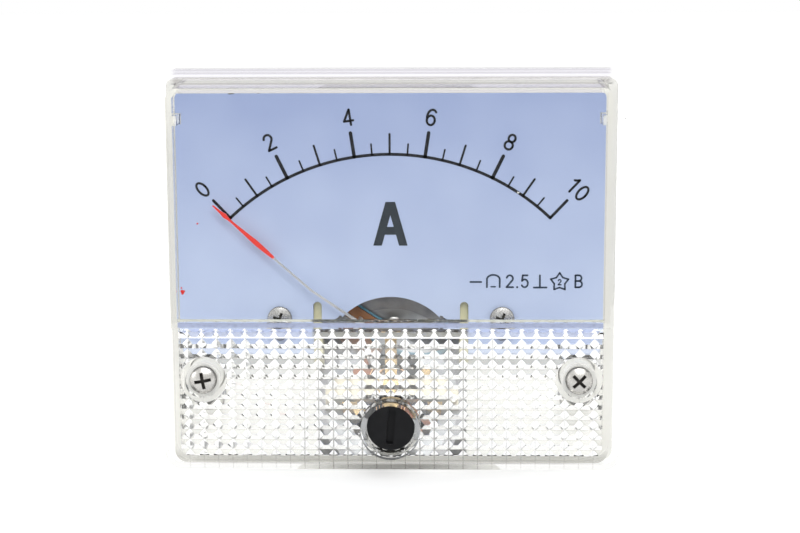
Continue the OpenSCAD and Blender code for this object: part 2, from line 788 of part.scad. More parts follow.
module frame_outline() {
  ear = [frame_screw_x, frame_screw_z];
  difference() {
    union() {
      translate([-ear[0], ear[1] - frame_ear_r]) square([2 * ear[0], 2 * frame_ear_r]);
      for (side = [-1, 1]) translate([side * ear[0], ear[1]]) circle(frame_ear_r);
      polygon([[-ear[0], ear[1]], [-yoke_r, axis_z - 2], [yoke_r, axis_z - 2], [ear[0], ear[1]]]);
      translate([0, axis_z]) circle(yoke_r + sleeve_wall);
    }
    translate([0, axis_z]) circle(yoke_r + fit_gap / 2);
    both_sides(dial_gap_half - dial_slot_w / 2)
      translate([-frame_notch_w / 2, frame_notch_z]) square([frame_notch_w, ear[1] + frame_ear_r - frame_notch_z + cut]);
  }
}

module movement_frame() {
  color("dimgray")
    difference() {
      intersection() {
        union() {
          slab(frame_y, frame_back_y) frame_outline();
          washer_at_axis(yoke_r + sleeve_wall, yoke_r + fit_gap / 2, frame_back_y, frame_back_y + sleeve_l);
          both_sides(dial_screw_x) rod(dial_post_r, dial_back_y, frame_y, 0, dial_screw_z);
        }
        rod(barrel_r - barrel_wall - 0.3, dial_y, barrel_l);
      }
      both_sides(dial_screw_x)
        rod(dial_shank_r + fit_gap, dial_y, dial_y + dial_screw_l + 0.2, 0, dial_screw_z);
      both_sides(frame_screw_x)
        rod(frame_shank_r + fit_gap, frame_y - cut, frame_back_y + cut, 0, frame_screw_z);
      rod(lead_r + 0.45, frame_y - cut, frame_back_y + cut, lead_hole[0], lead_hole[1]);
    }
}

module washer_at_axis(r, bore, y0, y1) {
  translate([0, 0, axis_z]) washer(r, bore, y0, y1);
}

module frame_screws() {
  color("silver")
    both_sides(frame_screw_x)
      translate([0, 0, frame_screw_z]) {
        difference() {
          pan_head(frame_head_r, frame_head_h, frame_y);
          cross_recess(frame_head_r * 1.2, 0.5, 0.8, frame_y - frame_head_h, 30);
        }
        rod(frame_shank_r, frame_y, frame_y + frame_screw_l);
      }
}

module yoke_ring() {
  color("slategray")
    difference() {
      washer_at_axis(yoke_r, yoke_bore_r, frame_y, yoke_back_y);
      both_sides(foot_screw_x) {
        rod(foot_shank_r + fit_gap, frame_y - cut, frame_y + foot_screw_l, 0, axis_z);
        rod(foot_shank_r + fit_gap, yoke_back_y - foot_screw_l, yoke_back_y + cut, 0, axis_z);
      }
    }
}

module core_magnet() {
  color("#3a3a40")
    rod(core_r, frame_y + core_inset, yoke_back_y - core_inset, 0, axis_z);
}

module core_spacers() {
  y0 = frame_y + core_inset;
  far = yoke_bore_r * 1.2;
  lift = far * tan(spacer_deg / 2);
  color("tan")
    for (side = [-1, 1])
      intersection() {
        washer_at_axis(yoke_bore_r, core_r, y0, yoke_back_y - core_inset);
        translate([0, 0, axis_z]) slab(y0, yoke_back_y - core_inset)
          polygon([[0, 0], [side * far, lift], [side * far, -lift]]);
      }
}

// Turns a coil outline, drawn in the plane of the coil, to its rest angle
module at_rest() {
  translate([0, 0, axis_z]) rotate([0, -zero_deg, 0]) children();
}

// A rectangular loop round the core, grown by g, of width w across the coil
module coil_loop(g, w) {
  half = former_half + g;
  translate([-w / 2, frame_y - g, -half]) cube([w, yoke_l + 2 * g, 2 * half]);
}

module coil_former() {
  color("silver")
    at_rest()
      difference() {
        union() {
          coil_loop(former_t, coil_w);
          for (side = [-1, 1])
            translate([side * (coil_w - former_flange) / 2, 0, 0]) coil_loop(loop_half - former_half, former_flange);
        }
        coil_loop(0, coil_w + cut);
      }
}

module coil_winding() {
  color("#a5562a")
    at_rest()
      difference() {
        coil_loop(former_t + winding_t, coil_w - 2 * former_flange);
        coil_loop(former_t, coil_w);
      }
}

tail_deg = 180 + riser_lead;
side_deg = riser_lead + 90;

// The centre of a counterweight of radius r, just outside the hairspring
function weight_at(r, deg) = polar(spring_r + weight_gap + r, deg - zero_deg);

module balance_cross() {
  color("darkgoldenrod")
    slab(plate_y, coil_front_y) {
      translate([0, axis_z]) circle(1.5);
      taper([0, axis_z], weight_at(tail_weight_r, tail_deg), 1, 0.7);
      taper([0, axis_z], weight_at(lead_weight_r, side_deg), 1, 0.7);
      taper([0, axis_z], weight_at(lag_weight_r, side_deg + 180), 1, 0.7);
    }
}

module balance_weights() {
  color("gold") {
    weight(tail_weight_r, tail_deg);
    weight(lead_weight_r, side_deg);
    weight(lag_weight_r, side_deg + 180);
  }
}

// A counterweight glued on the front of a balance arm
module weight(r, deg) {
  at = weight_at(r, deg);
  rod(r, plate_y - weight_t, plate_y, at[0], at[1]);
}

module rear_pivot_plate() {
  color("darkgoldenrod")
    at_rest() slab(coil_back_y, rear_plate_y) square([coil_w, 2 * former_half], center = true);
}

// A needle from its seat at y, pointing to dir, with a collet for the hairspring at c
module needle(y, c, tip, dir) {
  turned(0, axis_z)
    polygon([[0, y], [0.9, y], [0.9, y + dir * seat_t], [pivot_r, y + dir * seat_t],
             [pivot_r, c - dir * collet_h / 2], [collet_r, c - dir * collet_h / 2],
             [collet_r, c + dir * collet_h / 2], [pivot_r, c + dir * collet_h / 2],
             [pivot_r, tip - dir * 0.35], [0.04, tip], [0, tip]]);
}

front_tip_y = jewel_y - 0.35;
rear_tip_y = rear_jewel_y + 0.35;

module front_pivot() {
  color("silver") needle(plate_y, spring_y, front_tip_y, -1);
}

module rear_pivot() {
  color("silver") needle(rear_plate_y, rear_spring_y, rear_tip_y, 1);
}

// A slotted screw with a conical jewel seat in its inner end
module jewel_screw(inner, outer, tip, dir) {
  mouth = pivot_r + jewel_gap + 0.25;
  bottom = tip + dir * jewel_gap;
  translate([0, 0, axis_z])
    difference() {
      turned(0, 0)
        polygon([[0, outer], [jewel_r, outer], [jewel_r, inner], [mouth, inner], [0.1, bottom], [0, bottom]]);
      translate([-jewel_r - cut, min(outer - dir * 0.4, outer), -0.15]) cube([2 * (jewel_r + cut), 0.4, 0.3]);
    }
}

module front_jewel_screw() {
  color("peru") jewel_screw(jewel_y, nut_y - 0.1, front_tip_y, -1);
}

module rear_jewel_screw() {
  color("peru") jewel_screw(rear_jewel_y, rear_bridge_y + bridge_t + jewel_nut_t + 0.6, rear_tip_y, 1);
}

module front_jewel_nut() {
  color("silver")
    translate([0, 0, axis_z]) hex_nut(jewel_nut_af, jewel_r + fit_gap, nut_y, nut_y + jewel_nut_t);
}

module rear_jewel_nut() {
  y = rear_bridge_y + bridge_t;
  color("silver") translate([0, 0, axis_z]) hex_nut(jewel_nut_af, jewel_r + fit_gap, y, y + jewel_nut_t);
}

foot_end = yoke_r - 0.1;
foot_screw_x = (leg_x + leg_t + foot_end) / 2;

// A bridge whose strap starts at y0 and whose feet start at f0
module bridge(y0, f0) {
  lo = min(y0, f0);
  hi = max(y0 + bridge_t, f0 + foot_t);
  translate([0, 0, axis_z])
    difference() {
      union() {
        translate([-leg_x - leg_t, y0, -bridge_w / 2]) cube([2 * (leg_x + leg_t), bridge_t, bridge_w]);
        for (side = [-1, 1]) {
          translate([side * (leg_x + leg_t / 2) - leg_t / 2, lo, -bridge_w / 2]) cube([leg_t, hi - lo, bridge_w]);
          translate([side * (leg_x + foot_end) / 2 - (foot_end - leg_x) / 2, f0, -bridge_w / 2])
            cube([foot_end - leg_x, foot_t, bridge_w]);
        }
      }
      rod(jewel_r + fit_gap, y0 - cut, y0 + bridge_t + cut);
      both_sides(foot_screw_x) rod(foot_shank_r + fit_gap, f0 - cut, f0 + foot_t + cut);
    }
}

module front_bridge() {
  color("khaki") bridge(bridge_y, frame_y - foot_t);
}

module rear_bridge() {
  color("khaki") bridge(rear_bridge_y, yoke_back_y);
}

module bridge_screws() {
  color("silver")
    both_sides(foot_screw_x) {
      rod(foot_head_r, frame_y - foot_t - foot_head_h, frame_y - foot_t, 0, axis_z);
      rod(foot_shank_r, frame_y - foot_t, frame_y + foot_screw_l - 0.3, 0, axis_z);
      rod(foot_head_r, yoke_back_y + foot_t, yoke_back_y + foot_t + foot_head_h, 0, axis_z);
      rod(foot_shank_r, yoke_back_y - foot_screw_l + 0.3, yoke_back_y + foot_t, 0, axis_z);
    }
}

// The lever's fork holds the eccentric pin, and its tag holds the outer end of the front hairspring
module zero_lever() {
  fork_z = eccentric - adjuster_drop;
  prong = 0.7;
  slot = eccentric_r + fork_gap;
  lug_z = spring_r + 0.06;
  color("goldenrod")
    translate([0, 0, axis_z])
      difference() {
        union() {
          slab(lever_y, lever_y + lever_t) {
            circle(2.1);
            translate([-slot - prong, fork_z - 1.1]) square([2 * (slot + prong), -fork_z]);
            translate([-lever_w / 2, 0]) square([lever_w, tee_reach - tee_h / 2]);
            translate([-tee_w / 2, tee_reach - tee_h]) square([tee_w, tee_h]);
          }
          translate([-0.5, lever_y, lug_z]) cube([1, spring_y + spring_w / 2 - lever_y, 0.3]);
        }
        rod(jewel_r + lever_gap, lever_y - cut, lever_y + lever_t + cut);
        translate([-slot, lever_y - cut, fork_z - 2]) cube([2 * slot, lever_t + 2 * cut, 3]);
      }
}

// One edge of a flat spiral from radius r0 to r1, that ends upright
function spiral(r0, r1, steps) =
  [for (i = [0:steps * spring_turns])
    let (t = i / (steps * spring_turns), r = r0 + (r1 - r0) * t, a = 360 * spring_turns * t)
    [r * sin(a), r * cos(a)]];

function reversed(list) = [for (i = [len(list) - 1:-1:0]) list[i]];

module hairspring(y) {
  steps = 24;
  inner = spiral(collet_r, spring_r - spring_t, steps);
  outer = spiral(collet_r + spring_t, spring_r, steps);
  translate([0, 0, axis_z])
    slab(y - spring_w / 2, y + spring_w / 2) polygon(concat(outer, reversed(inner)));
}

module front_hairspring() {
  color("orange") hairspring(spring_y);
}

module rear_hairspring() {
  color("orange") hairspring(rear_spring_y);
}

module rear_spring_tag() {
  y = rear_bridge_y + bridge_t;
  lug_z = spring_r + 0.06;
  color("goldenrod")
    translate([0, 0, axis_z])
      union() {
        translate([-0.5, rear_spring_y - spring_w / 2, lug_z]) cube([1, y + 0.3 - rear_spring_y + spring_w / 2, 0.3]);
        difference() {
          translate([0, 0, 0]) slab(y + jewel_nut_t, y + jewel_nut_t + 0.3)
            union() {
              circle(2);
              translate([-0.5, 0]) square([1, lug_z + 0.3]);
            }
          rod(jewel_r + fit_gap, y, y + 2);
        }
        translate([-0.5, y, lug_z]) cube([1, jewel_nut_t + 0.3, 0.3]);
      }
}

board_deg = -zero_deg;
board_out = board_side + board_w;
lead_hole = polar(11.2, 45);

// A front-view point given along the zero direction and to its right
function beside(s, t) = [s * sin(board_deg) + t * cos(board_deg), axis_z + s * cos(board_deg) - t * sin(board_deg)];

module tag_board() {
  color("sienna")
    slab(frame_y - board_t, frame_y)
      polygon([beside(board_near, board_side), beside(board_near, board_out),
               beside(board_near + board_l, board_out), beside(board_near + board_l, board_side)]);
}

// Swaps each inner corner of a route for a smooth bend that starts and ends k away from it
function bent(route, k) =
  [for (i = [0:len(route) - 1])
    each i == 0 || i == len(route) - 1 ? [route[i]] : corner(route[i - 1], route[i], route[i + 1], k)];

function corner(a, p, b, k) =
  let (u = k * (a - p) / norm(a - p), v = k * (b - p) / norm(b - p))
  [for (t = [0:0.25:1]) p + u * pow(1 - t, 2) + v * t * t];

// Sweeps a round lead along a route of points
module lead(route) {
  sides = 8;
  last = len(route) - 1;
  points = [for (i = [0:last])
    let (d = route[min(i + 1, last)] - route[max(i - 1, 0)],
         u = cross(d, [0.35, 0.2, 1]) / norm(cross(d, [0.35, 0.2, 1])),
         v = cross(d, u) / norm(d))
    for (k = [0:sides - 1]) route[i] + lead_r * (cos(360 * k / sides) * u + sin(360 * k / sides) * v)];
  walls = [for (i = [0:last - 1], k = [0:sides - 1])
    let (n = (k + 1) % sides)
    [i * sides + n, i * sides + k, (i + 1) * sides + k, (i + 1) * sides + n]];
  start = [for (k = [0:sides - 1]) k];
  end = [for (k = [sides - 1:-1:0]) last * sides + k];
  polyhedron(points = points, faces = concat([start], walls, [end]));
}

function at_depth(p, y) = [p[0], y, p[1]];

module coil_lead() {
  y = frame_y - lead_r - 0.05;
  along = board_out + lead_r + 0.05;
  end_x = terminal_span / 2 - 1;
  color("lightskyblue")
    lead(bent([at_depth(beside(board_near + board_l, along), y),
               at_depth(beside(board_near, along), y),
               at_depth(polar(9.8, 25), y),
               at_depth(lead_hole, y),
               at_depth(lead_hole, 12),
               [end_x, 16, 0],
               [end_x, terminal_head_y - 0.05, 0]], 0.9));
}

module return_lead() {
  y = rear_bridge_y + bridge_t + jewel_nut_t + 0.3;
  end_x = 1 - terminal_span / 2;
  color("indianred")
    lead(bent([[0, y, axis_z + spring_r - 0.3],
               [0, y + 1.5, axis_z + spring_r - 0.3],
               [end_x, 16, -1],
               [end_x, terminal_head_y - 0.05, 0]], 0.9));
}

module mounting_studs() {
  color("silver")
    for (x = [-1, 1], z = [-1, 1])
      translate([x * stud_span_x / 2, 0, z * stud_span_z / 2]) {
        rod(stud_head_r, seam_y, seam_y + stud_head_t);
        rod(stud_r + 0.3, seam_y + stud_head_t, 0);
        rod(stud_r, 0, stud_l);
      }
}

terminal_seat_y = barrel_l - barrel_wall - terminal_boss_h;
terminal_head_y = terminal_seat_y - shunt_t - terminal_head_t;
inner_nut_y = barrel_l;
flat_y = inner_nut_y + terminal_nut_t;
spring_washer_y = flat_y + washer_t;
outer_nut_y = spring_washer_y + spring_washer_t;

module terminal_studs() {
  color("#c9a227")
    both_sides(terminal_span / 2) {
      rod(terminal_head_r, terminal_head_y, terminal_head_y + terminal_head_t);
      rod(terminal_r, terminal_head_y + terminal_head_t, barrel_l + terminal_l);
    }
}

module terminal_inner_nuts() {
  color("#c9a227")
    both_sides(terminal_span / 2)
      hex_nut(terminal_nut_af, terminal_r + fit_gap, inner_nut_y, inner_nut_y + terminal_nut_t);
}

module terminal_flat_washers() {
  color("#c9a227")
    both_sides(terminal_span / 2) washer(washer_r, terminal_r + fit_gap, flat_y, flat_y + washer_t);
}

module terminal_spring_washers() {
  color("silver")
    both_sides(terminal_span / 2)
      difference() {
        washer(spring_washer_r, terminal_r + fit_gap, spring_washer_y, spring_washer_y + spring_washer_t);
        translate([-spring_washer_cut / 2, spring_washer_y - cut, 0])
          cube([spring_washer_cut, spring_washer_t + 2 * cut, spring_washer_r + cut]);
      }
}

module terminal_outer_nuts() {
  color("#c9a227")
    both_sides(terminal_span / 2)
      hex_nut(terminal_nut_af, terminal_r + fit_gap, outer_nut_y, outer_nut_y + terminal_nut_t);
}

module shunt_strip() {
  color("peru")
    difference() {
      slab(terminal_seat_y - shunt_t, terminal_seat_y) {
        square([terminal_span, shunt_w], center = true);
        for (side = [-1, 1]) translate([side * terminal_span / 2, 0]) circle(shunt_w / 2 + 1.5);
      }
      both_sides(terminal_span / 2) rod(terminal_r + fit_gap, 0, barrel_l);
    }
}

front_cover();
cover_screws();
zero_adjuster();
base_housing();
base_barrel();
dial_plate();
dial_screws();
pointer();
movement_frame();
frame_screws();
yoke_ring();
core_magnet();
core_spacers();
coil_former();
coil_winding();
balance_cross();
balance_weights();
rear_pivot_plate();
front_pivot();
rear_pivot();
front_jewel_screw();
rear_jewel_screw();
front_jewel_nut();
rear_jewel_nut();
front_bridge();
rear_bridge();
bridge_screws();
zero_lever();
front_hairspring();
rear_hairspring();
rear_spring_tag();
tag_board();
coil_lead();
return_lead();
mounting_studs();
terminal_studs();
terminal_inner_nuts();
terminal_flat_washers();
terminal_spring_washers();
terminal_outer_nuts();
shunt_strip();
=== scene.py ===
# %% [markdown]
# # A panel meter, dressed from its construction model
# The construction model already holds every solid of the meter: the clear cover with its prisms,
# the dial, the pointer and the movement behind it. This lesson gives each solid the finish of the
# real one, prints the dial, winds the threads, and sets up a soft studio round it.
# Each code cell makes one thing and prints what it made.

# %% Load the model
import json
import math
import bpy
import numpy as np
from mathutils import Matrix, Vector


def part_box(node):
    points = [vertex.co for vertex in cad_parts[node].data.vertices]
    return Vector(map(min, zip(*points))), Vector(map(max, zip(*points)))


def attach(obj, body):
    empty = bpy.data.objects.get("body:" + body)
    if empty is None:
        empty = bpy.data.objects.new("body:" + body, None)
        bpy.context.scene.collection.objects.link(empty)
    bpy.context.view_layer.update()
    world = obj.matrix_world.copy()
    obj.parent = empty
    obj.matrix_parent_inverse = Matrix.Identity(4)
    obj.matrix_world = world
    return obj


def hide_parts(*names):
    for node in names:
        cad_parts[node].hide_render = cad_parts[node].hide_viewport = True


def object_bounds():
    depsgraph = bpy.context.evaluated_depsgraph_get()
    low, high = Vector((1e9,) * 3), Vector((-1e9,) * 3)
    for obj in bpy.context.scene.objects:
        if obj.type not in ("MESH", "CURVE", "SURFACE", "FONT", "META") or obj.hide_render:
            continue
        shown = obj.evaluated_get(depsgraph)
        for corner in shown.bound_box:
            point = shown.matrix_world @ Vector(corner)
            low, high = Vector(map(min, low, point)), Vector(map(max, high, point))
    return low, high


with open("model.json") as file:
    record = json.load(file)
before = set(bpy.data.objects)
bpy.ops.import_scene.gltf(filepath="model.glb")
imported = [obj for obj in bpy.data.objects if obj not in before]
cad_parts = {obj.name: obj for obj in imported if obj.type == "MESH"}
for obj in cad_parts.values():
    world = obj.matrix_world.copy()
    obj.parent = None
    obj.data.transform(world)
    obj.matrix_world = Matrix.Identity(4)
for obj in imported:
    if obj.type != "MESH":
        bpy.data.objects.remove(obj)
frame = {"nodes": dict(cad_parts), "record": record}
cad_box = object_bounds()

MM = 0.001
nodes = frame["nodes"]

# %% [markdown]
# Positions come from the model itself. The coil's joint gives the axis that the pointer turns on,
# and the boxes of a few solids give the depths of the faces that the print and the glue sit on.

# %% Places to work from
joint_place = {j["name"]: Vector(j["pos_m"]) for j in frame["record"]["behaviour"]["joints"]}
AXIS_Z = joint_place["coil_swing"].z
ADJUSTER_Z = joint_place["zero_adjust"].z
DIAL_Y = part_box("dial_plate")[0].y
print("axis z %.2f mm, adjuster z %.2f mm, dial face y %.2f mm"
      % (AXIS_Z / MM, ADJUSTER_Z / MM, DIAL_Y / MM))

# %% [markdown]
# ## The camera
# The meter is seen almost straight on, from a little above, at about the distance of a hand.
# A lens of about 76 mm at 0.23 m keeps that closeness: the top of the case is a little larger
# than its foot, as it is when a camera looks down at an upright face.

# %% Camera
CAMERA_DISTANCE = 0.2338
CAMERA_AZIMUTH = 1.47
CAMERA_ELEVATION = 9.64
CAMERA_ROLL = -0.22
CAMERA_LENS = 76.59
CAMERA_TARGET = Vector((1.157, -5.0, 1.003)) * MM


def camera_at(target, distance, azimuth, elevation, roll, lens):
    """A camera on a sphere round target: azimuth turns it towards +X, elevation lifts it, both in degrees."""
    a, e, r = (math.radians(v) for v in (azimuth, elevation, roll))
    away = Vector((math.sin(a) * math.cos(e), -math.cos(a) * math.cos(e), math.sin(e)))
    data = bpy.data.cameras.new("camera")
    data.sensor_width, data.lens = 36.0, lens
    data.clip_start, data.clip_end = 0.005, 20.0
    camera = bpy.data.objects.new("camera", data)
    bpy.context.scene.collection.objects.link(camera)
    turn = (-away).to_track_quat("-Z", "Y").to_matrix().to_4x4() @ Matrix.Rotation(r, 4, "Z")
    camera.matrix_world = Matrix.Translation(target + away * distance) @ turn
    bpy.context.scene.camera = camera
    return camera


camera = camera_at(CAMERA_TARGET, CAMERA_DISTANCE, CAMERA_AZIMUTH, CAMERA_ELEVATION, CAMERA_ROLL,
                   CAMERA_LENS)
print("camera at", [round(v / MM, 1) for v in camera.location], "mm")

# %% [markdown]
# ## Sums with sockets
# A procedural finish is mostly arithmetic: a distance, a stripe, a fade. Writing it as nodes one
# by one hides the sum, so a small class wraps a node's output and turns Python's own operators
# into Math nodes. `1 - mask * 0.3` then reads as it would on paper.
# Every other node comes from one method, which takes the type, its settings and its sockets.

# %% Shader helpers
class Sum:
    """An output socket that can be used in sums."""

    def __init__(self, finish, socket):
        self.finish, self.socket = finish, socket

    def math(self, operation, *others):
        made = self.finish.node("ShaderNodeMath", {"operation": operation}, dict(enumerate((self, *others))))
        return made[0]

    def __add__(self, other):
        return self.math("ADD", other)

    def __mul__(self, other):
        return self.math("MULTIPLY", other)

    def __sub__(self, other):
        return self.math("SUBTRACT", other)

    def __rsub__(self, other):
        return (self * -1.0) + other

    def __truediv__(self, other):
        return self.math("DIVIDE", other)

    def __pow__(self, other):
        return self.math("POWER", other)

    __radd__, __rmul__ = __add__, __mul__

    def above(self, edge, soft):
        """0 below edge - soft, 1 above edge + soft, and a straight ramp between."""
        ramp = {"From Min": edge - soft, "From Max": edge + soft}
        return self.finish.node("ShaderNodeMapRange", {"clamp": True}, {"Value": self, **ramp})["Result"]

    def below(self, edge, soft):
        return 1.0 - self.above(edge, soft)


class Finish:
    """A material and its node tree, with one Principled shader."""

    def __init__(self, name):
        self.material = bpy.data.materials.new(name)
        self.material.use_nodes = True
        self.tree = self.material.node_tree
        self.tree.nodes.clear()
        self.output = self.tree.nodes.new("ShaderNodeOutputMaterial")
        self.shader = self.tree.nodes.new("ShaderNodeBsdfPrincipled")
        self.tree.links.new(self.shader.outputs[0], self.output.inputs[0])

    def feed(self, node, key, value):
        socket = node.inputs[key]
        if isinstance(value, Sum):
            self.tree.links.new(value.socket, socket)
        elif hasattr(socket, "default_value"):
            size = len(socket.default_value) if hasattr(socket.default_value, "__len__") else 0
            value = (*value, 1.0) if size == 4 and len(value) == 3 else value
            socket.default_value = value

    def node(self, kind, settings=None, sockets=None):
        """Adds a node: settings first, then socket values or links. Returns its outputs by name or number."""
        made = self.tree.nodes.new(kind)
        for key, value in (settings or {}).items():
            setattr(made, key, value)
        for key, value in (sockets or {}).items():
            self.feed(made, key, value)
        outputs = {i: Sum(self, s) for i, s in enumerate(made.outputs)}
        outputs.update({s.name: Sum(self, s) for s in reversed(made.outputs) if s.enabled})
        return outputs

    def set(self, **sockets):
        """Sets the Principled shader's own sockets: base_color=... feeds Base Color."""
        names = {"ior": "IOR", "specular_ior_level": "Specular IOR Level"}
        for key, value in sockets.items():
            self.feed(self.shader, names.get(key, key.replace("_", " ").title()), value)
        return self

    def at(self):
        """The piece's own coordinates, in metres."""
        return self.node("ShaderNodeTexCoord")["Object"]

    def place(self):
        """The x, y and z of a point on the piece, in millimetres."""
        at = self.at()
        split = self.node("ShaderNodeSeparateXYZ", None, {0: at})
        return at, split["X"] / MM, split["Y"] / MM, split["Z"] / MM

    def noise(self, size, at=None, detail=2.0, stretch=(1.0, 1.0, 1.0)):
        """Soft noise whose lumps are about size millimetres across, from 0 to 1."""
        at = at or self.at()
        at = self.node("ShaderNodeMapping", None, {"Vector": at, "Scale": stretch})["Vector"]
        made = self.node("ShaderNodeTexNoise", None, {"Vector": at, "Scale": 1 / (size * MM), "Detail": detail})
        return made[0]

    def blend(self, factor, first, second):
        """A colour between first, at factor 0, and second, at factor 1."""
        made = self.node("ShaderNodeMix", {"data_type": "RGBA"}, {0: factor, 6: first, 7: second})
        return made[2]

    def bump(self, height, depth, strength=1.0):
        """A normal from a height map, where height 1 stands depth millimetres proud."""
        made = self.node("ShaderNodeBump", None, {"Strength": strength, "Distance": depth * MM, "Height": height})
        return made["Normal"]


def add_mesh(name, points, faces, finish):
    """A new object in the scene, from points in metres, with one finish."""
    mesh = bpy.data.meshes.new(name)
    mesh.from_pydata(points, [], faces)
    mesh.materials.append(finish.material)
    piece = bpy.data.objects.new(name, mesh)
    bpy.context.scene.collection.objects.link(piece)
    return piece


print("helpers ready")

# %% [markdown]
# ## The studio
# The floor and the world are white only where the camera, a mirror or a clear piece looks at them.
# To everything else they are an ordinary pale floor and a soft grey-white room, so the meter is
# lit at a plain level and its colours stay as they are written.

# %% Floor and world
ROOM_LEVEL = 0.55
FLOOR_GLOW = 0.62
NEAR_WHITE = (0.55, 0.55, 0.55)


def studio_floor(z, half=3.0):
    """One square of 2 x 2 half metres at height z."""
    corners = [(-half, -half, z), (half, -half, z), (half, half, z), (-half, half, z)]
    finish = Finish("floor_paper")
    finish.set(base_color=(0.86, 0.86, 0.86), roughness=0.9, specular_ior_level=0.1)
    rays = finish.node("ShaderNodeLightPath")
    seen = rays["Is Camera Ray"].math("MAXIMUM", rays["Is Glossy Ray"])
    seen = seen.math("MAXIMUM", rays["Is Transmission Ray"])
    at, x, y, z = finish.place()
    away = ((x * x + y * y) ** 0.5).above(260.0, 200.0)
    white = finish.blend(away, NEAR_WHITE, (1.0, 1.0, 1.0))
    glow = finish.node("ShaderNodeEmission", None, {"Color": white, "Strength": FLOOR_GLOW})[0]
    plain = Sum(finish, finish.shader.outputs[0])
    both = finish.node("ShaderNodeAddShader", None, {0: plain, 1: glow})[0]
    mixed = finish.node("ShaderNodeMixShader", None, {0: seen, 1: plain, 2: both})[0]
    finish.feed(finish.output, "Surface", mixed)
    piece = add_mesh("floor", corners, [(0, 1, 2, 3)], finish)
    return piece


def studio_world():
    """White to the camera, to clear pieces and low in mirrors; a softer room to everything else."""
    world = bpy.data.worlds.new("studio")
    bpy.context.scene.world = world
    world.use_nodes = True
    tree = world.node_tree
    tree.nodes.clear()
    out, rays, room, white, clear, seen, mix = (tree.nodes.new("ShaderNode" + kind) for kind in (
        "OutputWorld", "LightPath", "Background", "Background", "Math", "Math", "MixShader"))
    clear.operation = seen.operation = "MAXIMUM"
    for light, colour, level in ((room, (0.96, 0.98, 1.0, 1.0), ROOM_LEVEL), (white, (1.0, 1.0, 1.0, 1.0), 1.0)):
        light.inputs[0].default_value, light.inputs[1].default_value = colour, level
    for source, target in ((rays.outputs["Is Camera Ray"], clear.inputs[0]),
                           (rays.outputs["Is Transmission Ray"], clear.inputs[1]),
                           (clear.outputs[0], seen.inputs[0]),
                           (rays.outputs["Is Glossy Ray"], seen.inputs[1]),
                           (seen.outputs[0], mix.inputs[0]), (room.outputs[0], mix.inputs[1]),
                           (white.outputs[0], mix.inputs[2]), (mix.outputs[0], out.inputs[0])):
        tree.links.new(source, target)
    return world


floor = studio_floor(cad_box[0].z - 0.3 * MM)
studio_world()
print("floor at z %.2f mm" % (floor.data.vertices[0].co.z / MM))

# %% [markdown]
# Three soft lamps: a large one above and in front, a weaker one from the left, and a strip from
# behind and above that picks out the top edges of the clear case.

# %% Lamps
def soft_lamp(name, place, aim, size, power):
    """A rectangular lamp at place, facing aim; size is (width, height) in metres and power in watts."""
    data = bpy.data.lights.new(name, "AREA")
    data.shape, data.size, data.size_y = "RECTANGLE", *size
    data.energy = power
    lamp = bpy.data.objects.new(name, data)
    bpy.context.scene.collection.objects.link(lamp)
    lamp.location = place
    lamp.visible_camera = False
    lamp.rotation_euler = (Vector(aim) - Vector(place)).to_track_quat("-Z", "Y").to_euler()
    return lamp


soft_lamp("lamp_front_top", (0.15, -0.75, 0.75), (0, 0, 0), (0.7, 0.5), 5.0)
soft_lamp("lamp_left", (-0.9, -0.45, 0.35), (0, 0, 0), (0.4, 0.6), 2.0)
soft_lamp("lamp_back_top", (0.0, 0.45, 0.8), (0, 0, 0), (0.9, 0.3), 2.4)
bpy.context.scene.view_settings.view_transform = "Standard"

# %% [markdown]
# A flat window mirrors what stands before it, and a bright floor there would lay a haze over the
# dial. A photographer puts a black card where the window looks; here it lies on the floor, some way
# in front, and widens away from the meter as the window's view does. Only mirrored and refracted
# rays see it.

# %% Black card
def black_card(z, near=0.125, far=1.4, near_half=0.062, far_half=0.36):
    """A flat trapezium on the floor, from near to far metres in front of the meter."""
    corners = [(-near_half, -near, z), (near_half, -near, z), (far_half, -far, z), (-far_half, -far, z)]
    matt = Finish("card_black").set(base_color=(0.01, 0.01, 0.01), roughness=1.0, specular_ior_level=0.0)
    piece = add_mesh("black_card", corners, [(0, 3, 2, 1)], matt)
    piece.visible_camera = piece.visible_diffuse = piece.visible_shadow = False
    return piece


card = black_card(floor.data.vertices[0].co.z + 0.5 * MM)
print("black card over %.2f m of floor" % (card.dimensions.y))
